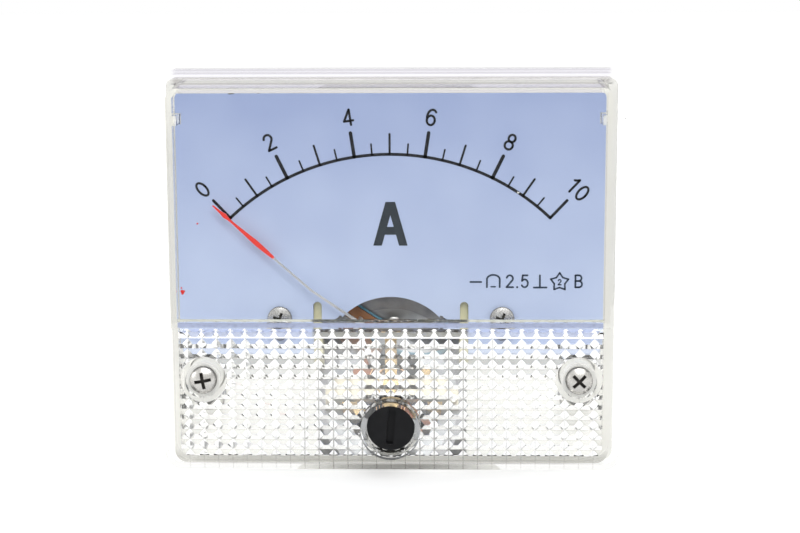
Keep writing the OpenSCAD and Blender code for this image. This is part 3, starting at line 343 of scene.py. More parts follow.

# %% [markdown]
# ## Clear cover
# The cover is one moulding of clear styrene, with a flat window and an apron of small prisms. It is
# modelled in full, so a glass shader bends the light as the real one does; on the top of its rim and
# its roof, bands of painted reflection are laid into its colour. The cover is left out of the shadow
# rays: clear plastic casts almost no shadow, and the dial behind it then gets the lamps' light
# directly instead of through slow caustics.

# %% Clear cover finish
def clear_styrene():
    """Clear plastic, with bands of painted reflection where the top of the rim and the roof are seen through the
    plastic's own thickness.

    A band is a product of two ramps, one that rises at its foot and one that falls at its head."""
    finish = Finish("clear_styrene")
    at, x, y, z = finish.place()

    def strip(value, foot, head, soft=0.04):
        return value.above(foot, soft) * value.below(head, soft)

    span = x.math("ABSOLUTE").below(29.8, 0.4)
    rim = y.above(-4.7, 0.1) * span
    broken = finish.noise(1.4, at, 3.0).above(0.47, 0.07)
    roof = y.below(-5.2, 0.3) * z.above(25.32, 0.02) * span
    # The plastic's own faint tint comes first. Every band blended over it is painted reflection: pale, lavender
    # and dark lines along the rim's top, a broken dark line under them, and warm bands on the roof.
    tint_and_painted_reflections = (0.998, 0.996, 0.978)
    for mask, colour in ((rim * strip(z, 26.97, 28.2, 0.06), (0.83, 0.81, 0.85)),
                         (rim * strip(z, 26.98, 27.14, 0.03), (0.99, 0.99, 1.0)),
                         (rim * strip(z, 26.55, 26.95), (0.76, 0.745, 0.77)),
                         (rim * strip(z, 26.12, 26.55), (0.62, 0.60, 0.61)),
                         (rim * (strip(z, 27.7, 27.86, 0.03) + strip(z, 27.28, 27.44, 0.03)), (0.62, 0.60, 0.64)),
                         (rim * strip(z, 25.86, 26.1) * broken, (0.12, 0.11, 0.125)),
                         (roof * strip(y, -9.9, -5.8, 0.4), (0.72, 0.72, 0.61)),
                         (roof * strip(y, -13.7, -9.9, 0.3), (0.76, 0.70, 0.62))):
        tint_and_painted_reflections = finish.blend(mask, tint_and_painted_reflections, colour)
    finish.set(base_color=tint_and_painted_reflections, roughness=0.015, ior=1.57, transmission_weight=1.0)
    return finish


CLEAR = clear_styrene()
print("made", CLEAR.material.name)

# %% [markdown]
# ## Plastics
# The base is an ivory moulding: a warm white with faint cloudiness from the pigment and a fine
# satin skin. The adjuster is black and a little duller, with the grain of its mould.

# %% Moulded plastics
def moulded(name, colour, shade, roughness, grain, clouds=6.0):
    """Plastic between colour and shade in soft clouds, with a skin of fine grain."""
    finish = Finish(name)
    at = finish.at()
    cloud = finish.noise(clouds, at)
    skin = finish.noise(0.12, at, detail=3.0)
    finish.set(base_color=finish.blend(cloud.above(0.5, 0.3), colour, shade),
               roughness=skin * 0.12 + (roughness - 0.06), specular_ior_level=0.45,
               normal=finish.bump(skin, grain))
    return finish


IVORY = moulded("ivory_moulding", (0.96, 0.95, 0.91), (0.94, 0.925, 0.87), 0.34, 0.004)
BLACK = moulded("black_moulding", (0.006, 0.0062, 0.007), (0.010, 0.010, 0.011), 0.38, 0.004, 2.0)
BLACK.set(specular_ior_level=0.14)
# A darker, yellower copy of the ivory: painted shade for the ribs that stand behind the dial's slots.
SHADED_IVORY = moulded("aged_ivory", (0.86, 0.815, 0.53), (0.83, 0.78, 0.49), 0.4, 0.004)
BLUE_LEAD = moulded("blue_insulation", (0.13, 0.33, 0.45), (0.17, 0.38, 0.50), 0.4, 0.003)
RED_LEAD = moulded("red_insulation", (0.50, 0.045, 0.035), (0.58, 0.06, 0.05), 0.4, 0.003)
BOARD = moulded("phenolic_board", (0.30, 0.13, 0.055), (0.40, 0.19, 0.09), 0.45, 0.006, 1.2)
print("plastics:", [f.material.name for f in (IVORY, BLACK, BLUE_LEAD, RED_LEAD, BOARD)])

# %% [markdown]
# ## Metals
# Bare and plated metals differ in colour, in how sharply they mirror, and in the fine marks that
# the process left. One recipe covers them: a streaky noise changes the roughness and the height,
# and a soft stain darkens the colour here and there.

# %% Metals
def metal(name, colour, stain, roughness, spread, mark=0.25, stretch=(1.0, 1.0, 1.0), depth=0.003):
    """Metal with marks about mark mm wide, drawn out by stretch, over soft stains."""
    finish = Finish(name)
    at = finish.at()
    streak = finish.noise(mark, at, 3.0, stretch)
    patch = finish.noise(1.8, at)
    finish.set(base_color=finish.blend(patch.above(0.55, 0.25), colour, stain), metallic=1.0,
               roughness=streak * spread + (roughness - spread / 2), normal=finish.bump(streak, depth))
    return finish


NICKEL = metal("nickel_plate", (0.80, 0.78, 0.74), (0.66, 0.63, 0.58), 0.22, 0.16)
CAST = metal("cast_alloy", (0.36, 0.36, 0.37), (0.25, 0.25, 0.27), 0.46, 0.2, 0.4, depth=0.015)
STEEL = metal("yoke_steel", (0.46, 0.47, 0.49), (0.36, 0.37, 0.39), 0.33, 0.15, 0.3, (1, 6, 1))
MAGNET = metal("magnet_alloy", (0.22, 0.22, 0.24), (0.16, 0.16, 0.17), 0.42, 0.2, 0.2)
BRASS = metal("brass", (0.68, 0.51, 0.27), (0.56, 0.39, 0.19), 0.27, 0.16, 0.3, (1, 1, 5))
PLATED = metal("plated_brass", (0.60, 0.56, 0.47), (0.48, 0.44, 0.35), 0.3, 0.16, 0.3, (1, 1, 5))
BRONZE = metal("spring_bronze", (0.78, 0.50, 0.28), (0.62, 0.36, 0.19), 0.25, 0.1)
ALUMINIUM = metal("former_aluminium", (0.82, 0.83, 0.84), (0.72, 0.73, 0.75), 0.3, 0.12)
SHUNT = metal("shunt_alloy", (0.62, 0.46, 0.37), (0.48, 0.33, 0.26), 0.36, 0.2, 0.3, (1, 6, 1))
print("metals ready")

# %% [markdown]
# A screw's plating is bright on its crown, while the cross recess and the edge of the rim are painted
# dark: painted shade where the bare metal would mirror a bright sky. The screws' plating is also
# darker than the other nickel's, painted shade for the darker surroundings the heads would mirror.
# The recess is where a point lies deeper than the crown's own curve says it should.

# %% Screw heads
def screw_head(name, node, centres, head_r, head_h, colour, recess_shade):
    """Plating on a pan head's crown, and painted shade in its recess and round its rim.

    The crown is a ball's cap, 0.45 of the head's height high: at a distance r from the middle its
    surface lies 0.45 head_h (r / head_r)^2 behind the top. What lies deeper is the recess."""
    finish = Finish(name)
    at, x, y, z = finish.place()
    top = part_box(node)[0].y / MM
    half, level = centres
    off_x = x.math("ABSOLUTE") - half
    off_z = z - level
    reach = (off_x * off_x + off_z * off_z) ** 0.5
    crown = reach * reach * (0.45 * head_h / head_r ** 2) + top
    recess = (y - crown).above(0.12, 0.06) * reach.below(head_r * 0.93, 0.04)
    rim = reach.above(head_r * 0.97, 0.05)
    streak = finish.noise(0.2, at, 3.0)
    patch = finish.noise(1.1, at)
    plated = finish.blend(patch.above(0.52, 0.25), colour, tuple(0.8 * c for c in colour))
    # Painted shade: the recess, and the rim at three quarters, take the dark colour and lose most of their metal.
    painted_shade = recess.math("MAXIMUM", rim * 0.75)
    finish.set(base_color=finish.blend(painted_shade, plated, recess_shade), metallic=1.0 - painted_shade * 0.7,
               roughness=streak * 0.16 + painted_shade * 0.25 + 0.2, normal=finish.bump(streak, 0.004))
    return finish


COVER_HEAD_R, DIAL_HEAD_R = 1.83, 1.65
COVER_SCREW_X = (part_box("cover_screws")[1].x - COVER_HEAD_R * MM) / MM
COVER_SCREW_Z = (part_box("cover_screws")[0].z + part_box("cover_screws")[1].z) / 2 / MM
DIAL_SCREW_X = (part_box("dial_screws")[1].x - DIAL_HEAD_R * MM) / MM
DIAL_SCREW_Z = (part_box("dial_screws")[0].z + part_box("dial_screws")[1].z) / 2 / MM
# The heads' plating colours are darker than the other nickel's: painted shade for the darker surroundings they
# would mirror. The last colour is the painted shade of the recess.
COVER_SCREW = screw_head("cover_screw_nickel", "cover_screws", (COVER_SCREW_X, COVER_SCREW_Z), COVER_HEAD_R,
                         1.35, (0.60, 0.585, 0.555), (0.035, 0.03, 0.026))
DIAL_SCREW = screw_head("dial_screw_nickel", "dial_screws", (DIAL_SCREW_X, DIAL_SCREW_Z), DIAL_HEAD_R,
                        0.75, (0.56, 0.555, 0.55), (0.04, 0.036, 0.028))
print("screws at", [round(v, 2) for v in (COVER_SCREW_X, COVER_SCREW_Z, DIAL_SCREW_X, DIAL_SCREW_Z)])

# %% [markdown]
# The winding is many turns of enamelled copper wire laid side by side. Stripes across the coil
# stand for the turns: the coordinate across the coil is worked out from the piece's own x and z,
# because the coil rests turned to the zero mark.

# %% Winding
def winding(rest_deg=44.0, wire=0.11):
    """Copper turns: a bump of rounded stripes, wire mm apart, across the coil."""
    finish = Finish("copper_winding")
    at, x, y, z = finish.place()
    turn = math.radians(rest_deg)
    across = x * math.cos(turn) + (z - AXIS_Z / MM) * math.sin(turn)
    stripe = (across * (math.pi / wire)).math("SINE").math("ABSOLUTE")
    tone = finish.noise(0.8, at)
    finish.set(base_color=finish.blend(tone, (0.60, 0.24, 0.11), (0.46, 0.15, 0.07)), metallic=0.9,
               roughness=0.3, coat_weight=0.5, normal=finish.bump(stripe, 0.03))
    return finish


COPPER = winding()
print("made", COPPER.material.name)

# %% [markdown]
# ## Dial paint
# The dial is a thin plate with a pale blue-lavender paint, nearly matt. The paint has faint clouds,
# and its colour runs from light at the foot to much darker at the top: a painted gradient of light
# and shade for how the light falls across the dial.

# %% Dial paint
# The dial's colour at its foot and at its top; the darker top is painted shade.
DIAL_FOOT_COLOUR = (0.598, 0.687, 0.897)
DIAL_TOP_COLOUR = (0.361, 0.436, 0.677)


def dial_paint():
    finish = Finish("dial_paint")
    at, x, y, z = finish.place()
    # Painted light and shade: the colour darkens with height from the foot colour towards the top colour, with the
    # paint's clouds on it.
    painted_light_rise = z.math("MULTIPLY_ADD", 1 / 34.0, 0.26)
    clouds = finish.noise(9.0, at, 1.0)
    tone = (painted_light_rise + (clouds - 0.5) * 0.5).math("MAXIMUM", 0.0).math("MINIMUM", 1.0)
    grain = finish.noise(0.09, at)
    finish.set(base_color=finish.blend(tone, DIAL_FOOT_COLOUR, DIAL_TOP_COLOUR),
               roughness=0.62, specular_ior_level=0.3, normal=finish.bump(grain, 0.002))
    return finish


DIAL = dial_paint()
print("made", DIAL.material.name)

# %% Ink and paint
def ink(name, colour, roughness=0.5):
    """Screen-printed ink or brushed paint: one colour with a slightly uneven film."""
    finish = Finish(name)
    at = finish.at()
    film = finish.noise(0.3, at)
    darker = tuple(0.86 * c for c in colour)
    finish.set(base_color=finish.blend(film, colour, darker), roughness=roughness,
               normal=finish.bump(film, 0.004))
    return finish


SCALE_INK = ink("scale_ink", (0.008, 0.009, 0.014))
UNIT_INK = ink("unit_ink", (0.030, 0.040, 0.052))
SIGN_INK = ink("sign_ink", (0.035, 0.055, 0.095))
RED_PAINT = ink("pointer_red", (0.84, 0.035, 0.03), 0.38)
SOLDER = metal("solder", (0.84, 0.83, 0.80), (0.74, 0.73, 0.70), 0.3, 0.15, 0.2)
print("inks ready")

# %% [markdown]
# The pointer is a drawn aluminium blade whose outer part is dipped in red paint. How far a point
# lies from the pointer's axis says which it is, and a soft noise makes the paint's edge uneven.

# %% Pointer finish
def dipped_pointer(paint_from=23.4):
    """Red paint beyond paint_from mm from the axis, bare metal inside it."""
    finish = Finish("dipped_pointer")
    at, x, y, z = finish.place()
    reach = (x * x + (z - AXIS_Z / MM) * (z - AXIS_Z / MM)) ** 0.5
    film = finish.noise(0.5, at)
    paint = (reach + film * 0.5).above(paint_from, 0.12)
    bare = finish.blend(film, (0.90, 0.90, 0.91), (0.78, 0.79, 0.82))
    finish.set(base_color=finish.blend(paint, bare, (0.86, 0.05, 0.035)), metallic=(1.0 - paint) * 0.85,
               roughness=paint * 0.1 + 0.3, normal=finish.bump(film, 0.01))
    return finish


POINTER = dipped_pointer()
print("made", POINTER.material.name)

# %% [markdown]
# ## Finishes on the construction solids
# A table says which finish each solid wears. The shapes stay as they are.

# %% Dress the solids
WEAR = {
    CLEAR: ["front_cover"],
    IVORY: ["base_housing", "base_barrel"],
    BLACK: ["zero_adjuster"],
    DIAL: ["dial_plate"],
    COVER_SCREW: ["cover_screws"],
    DIAL_SCREW: ["dial_screws"],
    NICKEL: ["frame_screws", "mounting_studs", "front_jewel_nut",
             "rear_jewel_nut", "bridge_screws", "front_pivot", "rear_pivot", "terminal_spring_washers"],
    CAST: ["movement_frame"],
    STEEL: ["yoke_ring"],
    MAGNET: ["core_magnet"],
    BRASS: ["core_spacers", "balance_cross", "balance_weights", "rear_pivot_plate",
            "zero_lever", "rear_spring_tag", "front_jewel_screw", "rear_jewel_screw",
            "terminal_studs", "terminal_inner_nuts", "terminal_outer_nuts", "terminal_flat_washers"],
    PLATED: ["front_bridge", "rear_bridge"],
    BRONZE: ["front_hairspring", "rear_hairspring"],
    ALUMINIUM: ["coil_former"],
    POINTER: ["pointer"],
    COPPER: ["coil_winding"],
    BOARD: ["tag_board"],
    BLUE_LEAD: ["coil_lead"],
    RED_LEAD: ["return_lead"],
    SHUNT: ["shunt_strip"],
}
for finish, names in WEAR.items():
    for name in names:
        for place in nodes[name].material_slots:
            place.material = finish.material
nodes["front_cover"].visible_shadow = False
nodes["front_cover"].visible_diffuse = False
undressed = set(nodes) - {n for names in WEAR.values() for n in names}
print("undressed solids:", sorted(undressed))

# %% [markdown]
# ## Small parts in the solids' place
# Stamped and moulded parts are outlines with a thickness. One function carries an outline
# backwards, with a small slope on its front edge that catches the light, and another joins such
# shells into one piece on its body.

# %% Flat parts
def flat_part(outline, front, back, edge=0.0):
    """Points and faces of a plate between the depths front and back, from an anticlockwise outline.

    The front rim is the outline drawn in towards its middle by edge mm, and the sloped edge runs
    from it to the full outline, edge mm further back; the wall goes straight on to the back."""
    outline = np.asarray(outline, float)
    n = len(outline)
    inward = outline.mean(0) - outline
    inset = outline + inward / np.linalg.norm(inward, axis=1)[:, None] * edge
    rings = [(inset, front), (outline, front + edge), (outline, back)]
    rings = rings if edge else [(outline, front), (outline, back)]
    points = np.concatenate([np.insert(ring, 1, depth, axis=1) for ring, depth in rings])
    i = np.arange(n)
    j = (i + 1) % n
    walls = [np.stack([k * n + i, (k + 1) * n + i, (k + 1) * n + j, k * n + j], 1) for k in range(len(rings) - 1)]
    last = (len(rings) - 1) * n
    faces = np.concatenate(walls).tolist() + [list(range(n)), list(range(last, last + n))[::-1]]
    return points, faces


def make_piece(name, shells, finish, body):
    """One object from several (points, faces) shells in millimetres, riding on a body."""
    starts = np.cumsum([0] + [len(points) for points, faces in shells])
    faces = [[int(c + start) for c in face] for start, (points, cells) in zip(starts, shells) for face in cells]
    points = (np.concatenate([points for points, cells in shells]) * MM).tolist()
    piece = add_mesh(name, points, faces, finish)
    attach(piece, body)
    print(name, len(points), "points")
    return piece


# %% [markdown]
# Two ribs of the base stand behind the dial's slots, and two small pads behind the notches in its
# sides. Each is an upright bar with a half-round top.

# %% Ribs and pads
def upright(x, foot, top, half):
    """An upright bar's outline: two sides half mm from x, closed by a half circle at the top."""
    t = np.linspace(0.0, math.pi, 17)
    cap = np.stack([x + half * np.cos(t), top - half + half * np.sin(t)], 1)
    return np.concatenate([cap, [(x - half, foot), (x + half, foot)]])


# The ribs wear the darker copy of the ivory, painted shade for where they stand behind the dial.
make_piece("slot_ribs", [flat_part(upright(side * 9.93, -9.0, -2.95, 0.62), -8.05, -5.6, 0.1) for side in (-1, 1)],
           SHADED_IVORY, "case")
make_piece("key_pads", [flat_part(upright(side * 28.08, 20.55, 22.95, 0.5), -8.3, -7.5, 0.05) for side in (-1, 1)],
           IVORY, "case")

# %% [markdown]
# Below the dial the works would show through the prisms. An ivory blind on each side hides the
# frame's ears, so that the apron looks evenly pale; it leaves room for the cover screw's post.

# %% Blinds
BLIND_NEAR, BLIND_EDGE, BLIND_TOP, BLIND_FOOT = 10.3, 27.75, -7.9, -23.3
POST_ROOM = 2.6


def blind_outline(side):
    """Straight runs and an arc about the post, post + 2.6 (cos t, sin t), open towards the near wall."""
    opening = math.acos((BLIND_EDGE - COVER_SCREW_X) / POST_ROOM)
    t = np.linspace(opening, 2 * math.pi - opening, 31)
    arc = np.stack([COVER_SCREW_X + POST_ROOM * np.cos(t), COVER_SCREW_Z + POST_ROOM * np.sin(t)], 1)
    outline = np.concatenate([[(BLIND_NEAR, BLIND_TOP), (BLIND_EDGE, BLIND_TOP)], arc,
                              [(BLIND_EDGE, BLIND_FOOT), (BLIND_NEAR, BLIND_FOOT)]])
    return outline[::-1] if side > 0 else outline * (-1.0, 1.0)


for side, name in ((-1, "blind_left"), (1, "blind_right")):
    make_piece(name, [flat_part(blind_outline(side), -7.0, -6.4)], IVORY, "case")

# %% [markdown]
# ## The pointer
# The pointer is a thin drawn blade on an arm. The arm leaves the coil's pivot plate, a short post
# steps it forward past the dial, and the blade runs on in front of the print. The red paint has
# drawn itself into a spindle and a bead as it dried, so the blade's width follows the paint.

# %% Pointer
BLADE_FOOT = np.array([-4.22, -5.71])
BLADE_BEND = np.array([-10.60, -1.37])
BLADE_TIP = np.array([-23.74, 10.20])


def blade_outline():
    """Both edges of the blade: a centre line of two straight runs, moved sideways by half a width.

    The width is read at each reach along the line from a short profile: even on the bare part,
    a spindle where the paint begins, thin, then a bead, then the tip."""
    first = np.linspace(0, 1, 8)[:, None] * (BLADE_BEND - BLADE_FOOT) + BLADE_FOOT
    second = np.linspace(0, 1, 60)[1:, None] * (BLADE_TIP - BLADE_BEND) + BLADE_BEND
    line = np.concatenate([first, second])
    reach = np.hypot(line[:, 0], line[:, 1] - AXIS_Z / MM)
    width = np.interp(reach, [9.0, 15.0, 23.0, 23.5, 24.6, 26.3, 28.2, 30.3, 31.2, 31.8, 32.4, 33.9],
                      [0.40, 0.30, 0.28, 0.38, 0.55, 0.66, 0.46, 0.28, 0.34, 0.62, 0.34, 0.14])
    along = np.gradient(line, axis=0)
    along /= np.linalg.norm(along, axis=1)[:, None]
    side = np.stack([-along[:, 1], along[:, 0]], 1) * width[:, None] / 2
    return np.concatenate([line + side, (line - side)[::-1]])[::-1]


def bar(start, stop, first, last):
    """A straight tapered bar's outline between two points, with its two widths."""
    start, stop = np.array(start, float), np.array(stop, float)
    along = (stop - start) / np.linalg.norm(stop - start)
    side = np.array([-along[1], along[0]])
    return np.array([start - side * first / 2, stop - side * last / 2,
                     stop + side * last / 2, start + side * first / 2])


def disc(x, z, r, steps=20):
    t = np.linspace(0, 2 * math.pi, steps, endpoint=False)
    return np.stack([x + r * np.cos(t), z + r * np.sin(t)], 1)


ARM_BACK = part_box("pointer")[1].y / MM
parts = [flat_part(blade_outline(), -10.1, -9.82), flat_part(disc(*BLADE_FOOT, 0.26), -9.85, ARM_BACK - 0.05),
         flat_part(bar((-0.6, AXIS_Z / MM + 1.2), BLADE_FOOT, 1.1, 0.6), ARM_BACK - 0.3, ARM_BACK)]
for turn in range(6):
    a, b = math.radians(60 * turn), math.radians(60 * turn + 60)
    ring = [(r * math.cos(t), AXIS_Z / MM + r * math.sin(t))
            for r, t in ((0.9, a), (1.5, a), (1.5, b), (0.9, b))]
    parts.append(flat_part(ring, ARM_BACK - 0.3, ARM_BACK))
blade = make_piece("pointer_blade", parts, POINTER, "moving_coil")
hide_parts("pointer")

# %% [markdown]
# ## Wiring in the arch
# A brown board carries the coil's thin blue lead along its edge. The lead then drops in front of
# the yoke, passes through the frame and ends on the terminal behind.

# %% Board and lead
board = [(-1.3, -6.5), (-6.6, -2.9), (-8.3, -4.2), (-2.6, -8.0)]
board_piece = make_piece("wire_board", [flat_part(board, -6.3, -5.5, 0.08)], BOARD, "case")
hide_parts("tag_board")


def ring_faces(rings, sides):
    """Faces of a skin over rings of points: one between each two neighbours, and a cap at each end."""
    k, i = np.arange(rings - 1)[:, None], np.arange(sides)[None, :]
    j = (i + 1) % sides
    cells = np.stack([k * sides + i, k * sides + j, (k + 1) * sides + j, (k + 1) * sides + i], -1)
    caps = [list(range(sides))[::-1], list(range((rings - 1) * sides, rings * sides))]
    return cells.reshape(-1, 4).tolist() + caps


def tube(path, radius, sides=10, rounds=3):
    """A round wire along a path: its corners are cut three times, then each point gets a ring.

    Cutting a corner puts two points a quarter and three quarters of the way along each run. A ring
    is centre + radius (u cos t + v sin t), with u and v square to the path."""
    path = np.asarray(path, float)
    for cut in range(rounds):
        near, far = path[:-1] * 0.75 + path[1:] * 0.25, path[:-1] * 0.25 + path[1:] * 0.75
        path = np.concatenate([path[:1], np.stack([near, far], 1).reshape(-1, 3), path[-1:]])
    along = np.gradient(path, axis=0)
    along /= np.linalg.norm(along, axis=1)[:, None]
    u = np.cross(along, (0.0, 0.0, 1.0))
    u /= np.linalg.norm(u, axis=1)[:, None]
    v = np.cross(along, u)
    t = np.linspace(0, 2 * math.pi, sides, endpoint=False)
    cos, sin = np.cos(t)[None, :, None], np.sin(t)[None, :, None]
    rings = path[:, None] + radius * (u[:, None] * cos + v[:, None] * sin)
    return rings.reshape(-1, 3), ring_faces(len(path), sides)


hole = (7.92, -6.08)
lead_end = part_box("coil_lead")[1].y / MM
route = [(-6.5, -6.0, -2.72), (-4.6, -6.0, -4.05), (-1.4, -6.0, -6.2), (0.4, -5.9, -6.9), (4.0, -5.85, -7.2),
         (7.2, -5.85, -6.9), (hole[0], -5.6, hole[1]), (hole[0], -3.0, hole[1]), (hole[0], 12.0, hole[1]),
         (11.5, 16.0, 0.0), (11.5, lead_end, 0.0)]
lead_piece = make_piece("blue_lead", [tube(route, 0.17)], BLUE_LEAD, "case")
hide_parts("coil_lead")

# %% [markdown]
# The spring's outer end is soldered to a narrow brass tag on the lever, just under the arch. The
# solder is a small bead, rounder than it is tall.

# %% Tag and solder
def bead(x, y, z, rx, ry, rz, across=16, up=9):
    """A squarish bead: an ellipsoid whose sines and cosines are drawn out by the power 0.7."""
    t, p = np.meshgrid(np.linspace(0, 2 * math.pi, across, endpoint=False), np.linspace(-1.45, 1.45, up))
    power = lambda v: np.sign(v) * np.abs(v) ** 0.7
    grid = np.stack([x + rx * power(np.cos(p)) * power(np.cos(t)), y + ry * power(np.cos(p)) * power(np.sin(t)),
                     z + rz * power(np.sin(p))], -1)
    return grid.reshape(-1, 3), ring_faces(up, across)


make_piece("spring_tag", [flat_part(bar((-1.8, -5.82), (2.6, -5.78), 0.18, 0.18), -8.6, -7.75)], BRASS,
           "lever")
make_piece("spring_solder", [bead(0.45, -8.35, -5.52, 0.62, 0.35, 0.3), bead(-2.1, -8.2, -5.8, 0.35, 0.3, 0.16)],
           SOLDER, "lever")

# %% [markdown]
# ## Threads
# The four studs and the two terminals carry rolled threads. A thread is a ridge with a three-sided
# section wound up a screw line; it is too fine for the construction model, so it is laid on here.

# %% Threads
def thread(x, z, start, stop, radius, pitch, height=0.13, around=28):
    """A ridge wound about (x, z), from the depth start to stop.

    At the turn t its middle is at start + pitch t / (2 pi); the crest stands height outside the
    radius and fades to nothing over the last half turn at each end, as a rolled thread does."""
    turns = (stop - start) / pitch
    t = np.linspace(0.0, 2 * math.pi * turns, int(turns * around))
    fade = np.clip(np.minimum(t, t[-1] - t) / math.pi, 0.0, 1.0)
    y = start + pitch * t / (2 * math.pi)
    rows = []
    for reach, step in ((radius - 0.03, -0.42), (radius + height * fade, 0.0), (radius - 0.03, 0.42)):
        rows.append(np.stack([x + reach * np.cos(t), y + step * pitch, z + reach * np.sin(t)], 1))
    points = np.stack(rows, 1).reshape(-1, 3)
    k, i = np.arange(len(t) - 1)[:, None] * 3, np.arange(3)[None, :]
    j = (i + 1) % 3
    cells = np.stack([k + i, k + 3 + i, k + 3 + j, k + j], -1).reshape(-1, 4)
    last = 3 * (len(t) - 1)
    return points, cells.tolist() + [[0, 1, 2], [last + 2, last + 1, last]]


stud_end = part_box("mounting_studs")[1]
terminal_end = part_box("terminal_studs")[1].y / MM
nut_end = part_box("terminal_outer_nuts")[1].y / MM
STUD_HEAD_R, STUD_R, STUD_PITCH = 2.6, 1.5, 0.5
TERMINAL_X, TERMINAL_R, TERMINAL_PITCH = 12.5, 2.0, 0.7
STUD_X, STUD_Z = stud_end.x / MM - STUD_HEAD_R, stud_end.z / MM - STUD_HEAD_R
make_piece("stud_threads", [thread(i * STUD_X, k * STUD_Z, 0.6, stud_end.y / MM - 0.7, STUD_R, STUD_PITCH)
                            for i in (-1, 1) for k in (-1, 1)], NICKEL, "case")
make_piece("terminal_threads", [thread(i * TERMINAL_X, 0.0, nut_end - 0.4, terminal_end - 0.9, TERMINAL_R,
                                       TERMINAL_PITCH, 0.16) for i in (-1, 1)], BRASS, "case")

# %% [markdown]
# ## Lands between the prisms
# The mould's cutter leaves a narrow flat land between neighbouring prisms. A land sends the light
# straight through, so beside the bright facets it reads as a thin grey line. That grey is painted
# shade: each land is drawn as a dark film inside the plastic, just in front of the prisms, most
# opaque in front of the dark movement.

# %% Lands
def land_finish():
    finish = Finish("prism_land")
    at, x, y, z = finish.place()
    # Painted shade: the film is most opaque within about 12 mm of the middle, in front of the dark movement.
    middle = x.math("ABSOLUTE").below(12.0, 3.0)
    uneven = finish.noise(1.5, at)
    finish.set(base_color=(0.20, 0.19, 0.16), roughness=0.6, specular_ior_level=0.1,
               alpha=(middle * 0.34 + 0.2) * (uneven * 0.8 + 0.5))
    return finish


COLUMN = 1.96
ROW = 1.4
FIRST_ROW = 7.8
LAND_DEPTH = -11.17
LAND_HALF = 0.06


def film(z0, z1, depth, foot, head=None):
    """A four-cornered film from z0 up to z1: foot and head are its (from, to) in x at either end."""
    (a, b), (c, d) = foot, head or foot
    return np.array([(a, depth, z0), (b, depth, z0), (d, depth, z1), (c, depth, z1)]), [[0, 1, 2, 3]]


def clear_of(x, z):
    """Whether a land at (x, z) misses the two cover screws and the adjuster's collar."""
    return (np.hypot(abs(x) - COVER_SCREW_X, z - COVER_SCREW_Z) > 3.3) & (np.hypot(x, z - ADJUSTER_Z / MM) > 4.2)


lands = []
for k in range(-14, 15):
    for i in range(13):
        x, top = k * COLUMN, -FIRST_ROW - i * ROW
        if clear_of(x, top - ROW / 2):
            lands.append(film(top - ROW, top, LAND_DEPTH, (x - LAND_HALF, x + LAND_HALF)))
        if clear_of(x + COLUMN / 2, top) and i and k < 14:
            lands.append(film(top - 0.04, top + 0.04, LAND_DEPTH,
                              (x + LAND_HALF, x + COLUMN - LAND_HALF)))
films = make_piece("prism_lands", lands, land_finish(), "case")
films.visible_shadow = False

# %% [markdown]
# The step under the window and the first row of prisms mirror the dial's foot and the gap behind
# it. Tracing that needs facets finer than the moulding's, so the mirrored bands are drawn as films
# in the plastic: a pale line, a lavender band, and a tapering patch in each prism of the row.

# %% Mirrored bands
def band_finish(name, side, middle, alpha, gap=0.0):
    """Side colour beyond the movement and middle colour before it; gap thins the film at the centre."""
    finish = Finish(name)
    at, x, y, z = finish.place()
    near = x.math("ABSOLUTE")
    uneven = finish.noise(0.7, at, 3.0, (1.0, 1.0, 2.0))
    works = near.below(10.4, 0.25)
    tone = finish.blend(works, side, middle)
    dark = tuple(0.55 * c for c in side)
    tone = finish.blend(uneven.above(0.6, 0.1) * 0.5, tone, dark)
    finish.set(base_color=tone, roughness=0.5, specular_ior_level=0.1,
               alpha=alpha * (1.0 - near.below(3.4, 0.5) * gap))
    return finish


def taper_film(x, z0, z1, depth=-11.2):
    """A tapering patch in one prism: as wide as the prism at its head, half as wide at its foot."""
    w = COLUMN / 2 - 0.1
    return film(z0, z1, depth, (x - w * 0.5, x + w * 0.5), (x - w, x + w))


LINE_FILM = band_finish("ledge_line", (0.72, 0.73, 0.63), (0.11, 0.115, 0.105), 0.85, 0.85)
BAND_FILM = band_finish("ledge_band", (0.34, 0.385, 0.56), (0.36, 0.41, 0.60), 0.92)
HEAD_FILM = band_finish("prism_head", (0.50, 0.57, 0.82), (0.03, 0.025, 0.02), 0.94)
FOOT_FILM = band_finish("prism_foot", (0.48, 0.54, 0.74), (0.25, 0.245, 0.215), 0.85)
LEDGE_DEPTH = -13.97
LEDGE_SPAN = (-28.3, 28.3)
prisms = [(k + 0.5) * COLUMN for k in range(-14, 14)]
for name, shells, finish in (("ledge_line", [film(-4.92, -4.62, LEDGE_DEPTH, LEDGE_SPAN)], LINE_FILM),
                             ("ledge_band", [film(-5.74, -5.1, LEDGE_DEPTH, LEDGE_SPAN)], BAND_FILM),
                             ("prism_heads", [taper_film(x, -6.8, -6.36) for x in prisms], HEAD_FILM),
                             ("prism_feet", [taper_film(x, -7.5, -6.83) for x in prisms], FOOT_FILM)):
    sheet = make_piece(name, shells, finish, "case")
    sheet.visible_shadow = False

# %% [markdown]
# ## Printing the dial
# Lines, numerals and signs are all strokes of a pen of one width, so one function draws them: a
# band along a path, with half-round ends. The path is a list of points in the dial's plane, in
# millimetres, and the band is that path moved half a pen's width to either side.

